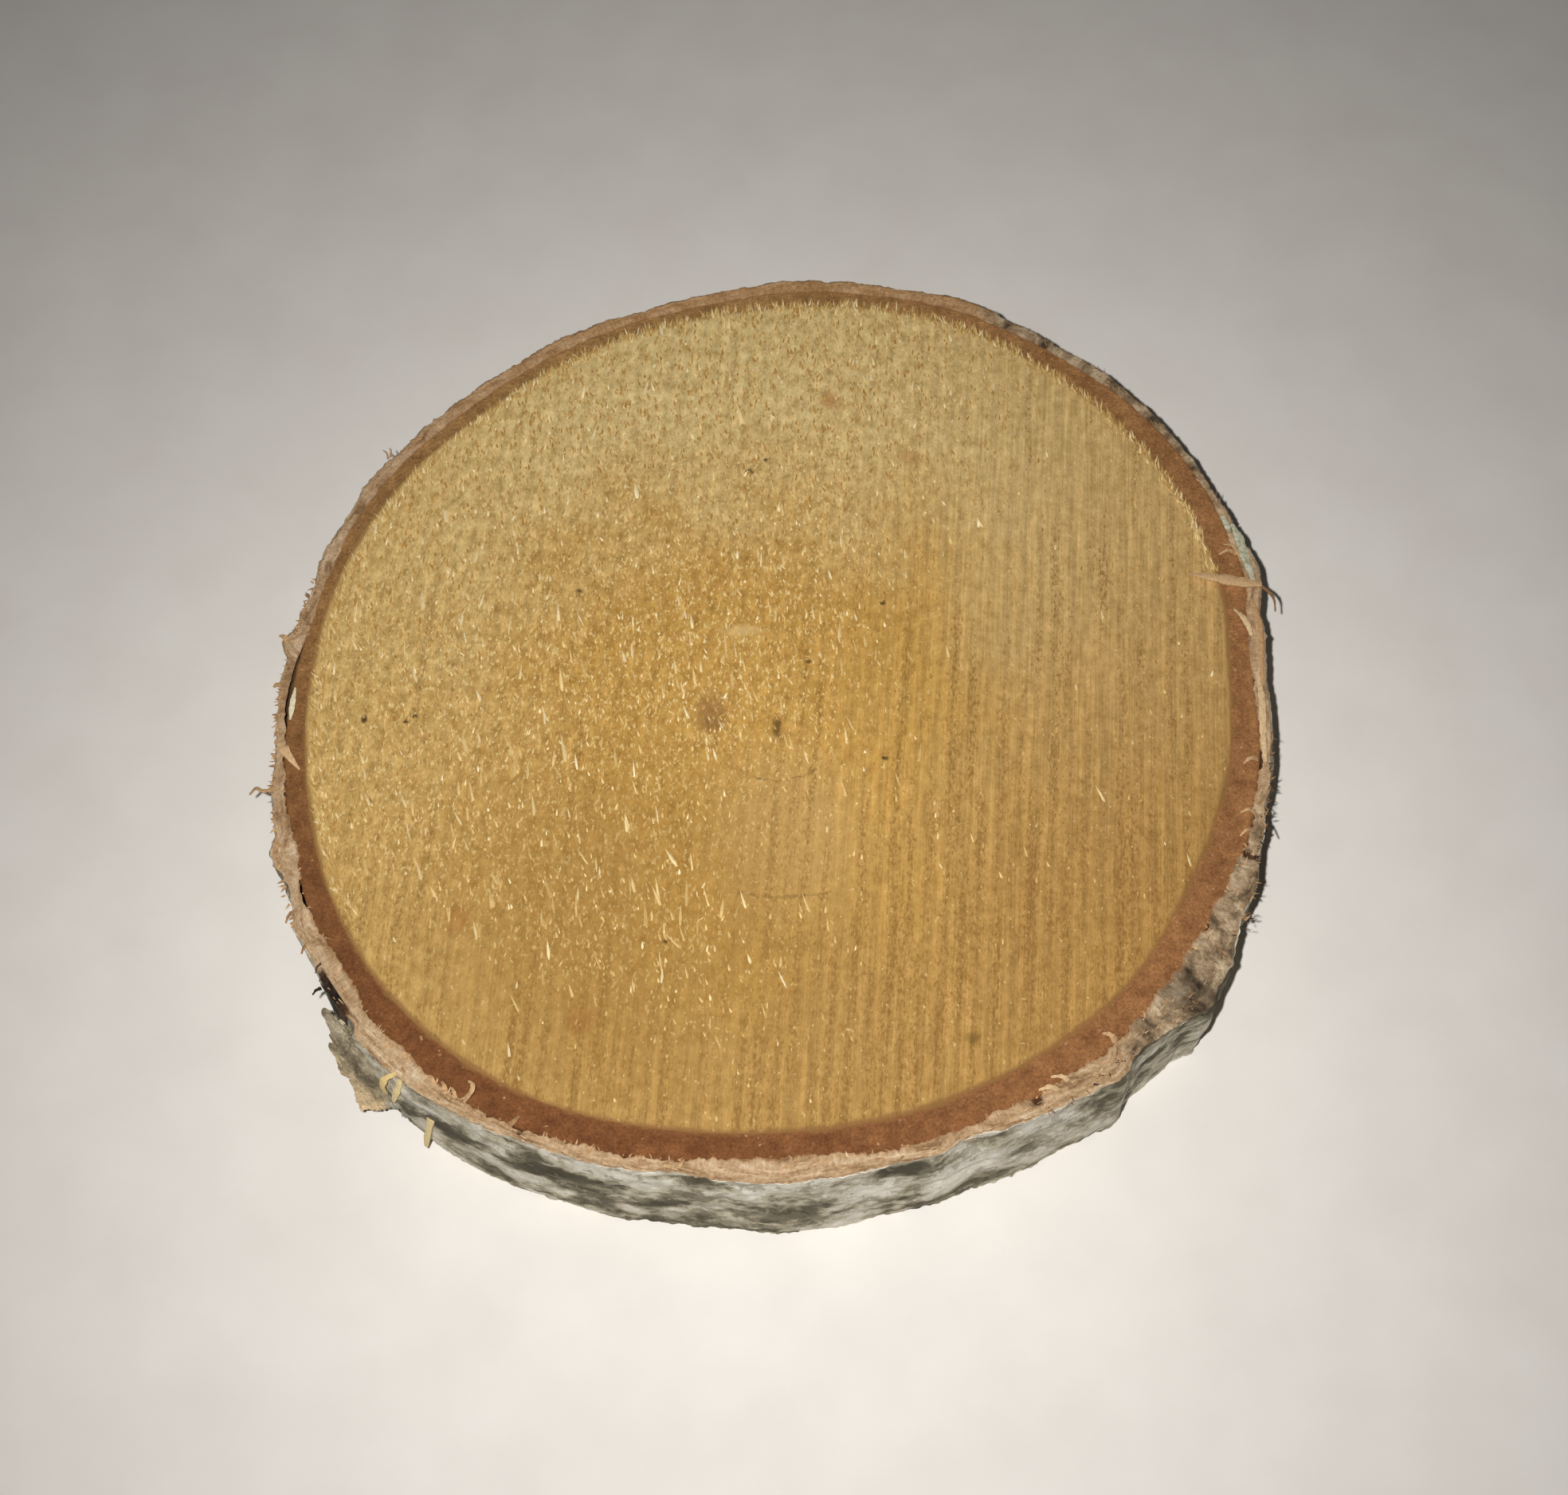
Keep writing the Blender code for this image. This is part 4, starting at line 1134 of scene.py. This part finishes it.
def smooth_path(path, share):
    """Places along a smooth curve through a path, at shares of its length from 0 to 1."""
    path = np.array(path, dtype=float)
    path = np.vstack([2 * path[0] - path[1], path, 2 * path[-1] - path[-2]])
    step = np.clip(share, 0, 1) * (len(path) - 3)
    i = np.minimum(step.astype(int), len(path) - 4)
    t = (step - i)[:, None]
    a, b, c, d = path[i], path[i + 1], path[i + 2], path[i + 3]
    bend = (2 * a - 5 * b + 4 * c - d) * t ** 2 + (3 * b - a - 3 * c + d) * t ** 3
    return (2 * b + (c - a) * t + bend) / 2


def bend_strip(path, widths, facing, shade, thickness):
    """A thin strip bent along a path, its edges a little ragged. Sizes are in mm."""
    bpy.ops.object.select_all(action="DESELECT")
    bpy.ops.mesh.primitive_grid_add(x_subdivisions=26, y_subdivisions=6, size=1, location=(0, 0, 0))
    strip = bpy.context.object
    flat = get_points(strip)
    share, across = flat[:, 0] + 0.5, flat[:, 1]
    spots = smooth_path(path, share)
    ahead = smooth_path(path, np.minimum(share + 0.02, 1)) - smooth_path(path, share - 0.02)
    side = np.cross(ahead, np.array(facing, dtype=float))
    side /= np.maximum(np.linalg.norm(side, axis=1), 1e-6)[:, None]
    lift = np.cross(side, ahead)
    lift /= np.maximum(np.linalg.norm(lift, axis=1), 1e-6)[:, None]
    width = np.interp(share, np.linspace(0, 1, len(widths)), widths)
    rough = grain_noise(spots[:, 0], spots[:, 1], share, 0.3, 0.3, 0.2, 6.0)
    spots += side * (across * width * (1 + 0.45 * rough))[:, None]
    cupped = (0.25 - across ** 2) * width * 0.3 + 0.05 * rough
    spots += lift * cupped[:, None]
    set_points(strip, spots * MM)
    add_solidify(strip, thickness * MM, 0.0)
    paint(strip, "shade", np.full(len(strip.data.vertices), shade))
    return strip


def curl_row(x, y, direction, length, width, shade):
    """A row like those of SHREDS for a small curl. One that points inward stands up from the rim,
    and one that points over the edge hardly does."""
    turns = np.radians([direction, direction + 25])
    outward = x * math.cos(turns[0]) + y * math.sin(turns[0]) > 0
    rise, drop = (0.12, 0.1) if outward else (0.5, 0.3)
    root = np.array((x, y, 12.1))
    middle = root + (0.5 * length * math.cos(turns[0]), 0.5 * length * math.sin(turns[0]), rise)
    tip = middle + (0.5 * length * math.cos(turns[1]), 0.5 * length * math.sin(turns[1]), -drop)
    return (root, middle, tip), (width, 0.7 * width, 0.3 * width), (0, 0, 1), shade


def join_pieces(pieces):
    bpy.ops.object.select_all(action="DESELECT")
    for piece in pieces:
        piece.select_set(True)
    bpy.context.view_layer.objects.active = pieces[0]
    bpy.ops.object.join()
    return pieces[0]


def whisker_rows(start, end, share, lean, length, width, rise, shade, count):
    """Rows for lay_slivers: hairs of bark between two angles, on a band across the rim."""
    angle = np.radians(dice.uniform(start, end, count))
    level = np.full(count, THICKNESS)
    inner = wall_radius(bark_walls[0], angle, level) - 0.35 * MM
    outer = wall_radius(bark_walls[1], angle, level) - 0.1 * MM
    radius = inner + (outer - inner) * dice.uniform(*share, count)
    drawn = [dice.uniform(*limits, count) for limits in (lean, length, width, rise, shade)]
    up = level + 0.05 * MM + RIM_PROUD * np.maximum(0.0, -np.sin(angle))
    return np.stack([
        radius * np.cos(angle), radius * np.sin(angle), up, angle + np.radians(drawn[0]),
        drawn[1] * MM, drawn[2] * MM, np.radians(drawn[3]), drawn[4]], axis=1)


whiskers = lay_slivers(np.concatenate([whisker_rows(*row) for row in WHISKERS]))
strip_rows = SHREDS + tuple(curl_row(*row) for row in CURLS)
strips = [bend_strip(*row, thickness=0.13) for row in strip_rows]
shreds = join_pieces([whiskers] + strips)

# Torn cork of birch: from dark brown through pinkish tan to straw, dull and fibrous.
torn_cork, tree = new_material("torn_birch_cork")
shade = add_node(tree, "Attribute", attribute_name="shade", out="Fac")
cork = add_node(tree, "ValToRGB", Fac=shade, ramp=(
    (0.0, "2e2419"), (0.2, "5f4632"), (0.45, "b98d60"), (0.65, "dcb382"), (0.85, "eed3a6"),
    (1.0, "f6e6c0")))
place = add_node(tree, "TexCoord", out="Object")
strand = add_node(tree, "TexNoise", Vector=place, Scale=1 / (0.25 * MM), Detail=3.0, Roughness=0.6)
tint = add_node(tree, "MapRange", Value=strand, From_Min=0.3, From_Max=0.7, To_Min=0.7, To_Max=1.15)
cork = add_node(tree, "VectorMath", operation="SCALE", Vector=cork, Scale=tint)
nap = add_node(tree, "Bump", Height=strand, Strength=0.5, Distance=0.1 * MM)
surface = add_node(
    tree, "BsdfPrincipled", Base_Color=cork, Roughness=0.75, Specular_IOR_Level=0.3, Normal=nap)
add_node(tree, "OutputMaterial", Surface=surface)
finish_piece(shreds, "bark_shreds", torn_cork, sharp=80)
shavings = join_pieces([bend_strip(*row, thickness=0.15) for row in SHAVINGS])
finish_piece(shavings, "wood_shavings", fibre_straw, sharp=80)


# Lichen
# A pale green scale of dried lichen on the outer edge of the rim at the right.
scale_rows = (
    (((44.9, 18.8, 12.2), (45.2, 17.9, 12.35), (45.4, 17.0, 12.3)), (0.4, 0.7, 0.3), (0.2, 0, 1), 0.5),
    (((45.8, 18.0, 12.1), (46.3, 16.4, 12.25), (46.7, 14.2, 12.25), (47.4, 11.6, 12.1)),
     (0.3, 0.8, 1.0, 0.8, 0.35), (0.3, 0, 1), 0.5),
)
lichen = join_pieces([bend_strip(*row, thickness=0.2) for row in scale_rows])

# Dried lichen: chalky pale green, crumbly.
dry_lichen, tree = new_material("dried_lichen")
place = add_node(tree, "TexCoord", out="Object")
crumbs = add_node(tree, "TexNoise", Vector=place, Scale=1 / (0.5 * MM), Detail=5.0, Roughness=0.7)
green = add_node(tree, "ValToRGB", Fac=crumbs, ramp=(
    (0.33, "9b9377"), (0.45, "cbc7a8"), (0.6, "e3e0c8")))
nap = add_node(tree, "Bump", Height=crumbs, Strength=0.8, Distance=0.2 * MM)
surface = add_node(
    tree, "BsdfPrincipled", Base_Color=green, Roughness=0.95, Specular_IOR_Level=0.2, Normal=nap)
add_node(tree, "OutputMaterial", Surface=surface)
finish_piece(lichen, "lichen_scale", dry_lichen, sharp=80)
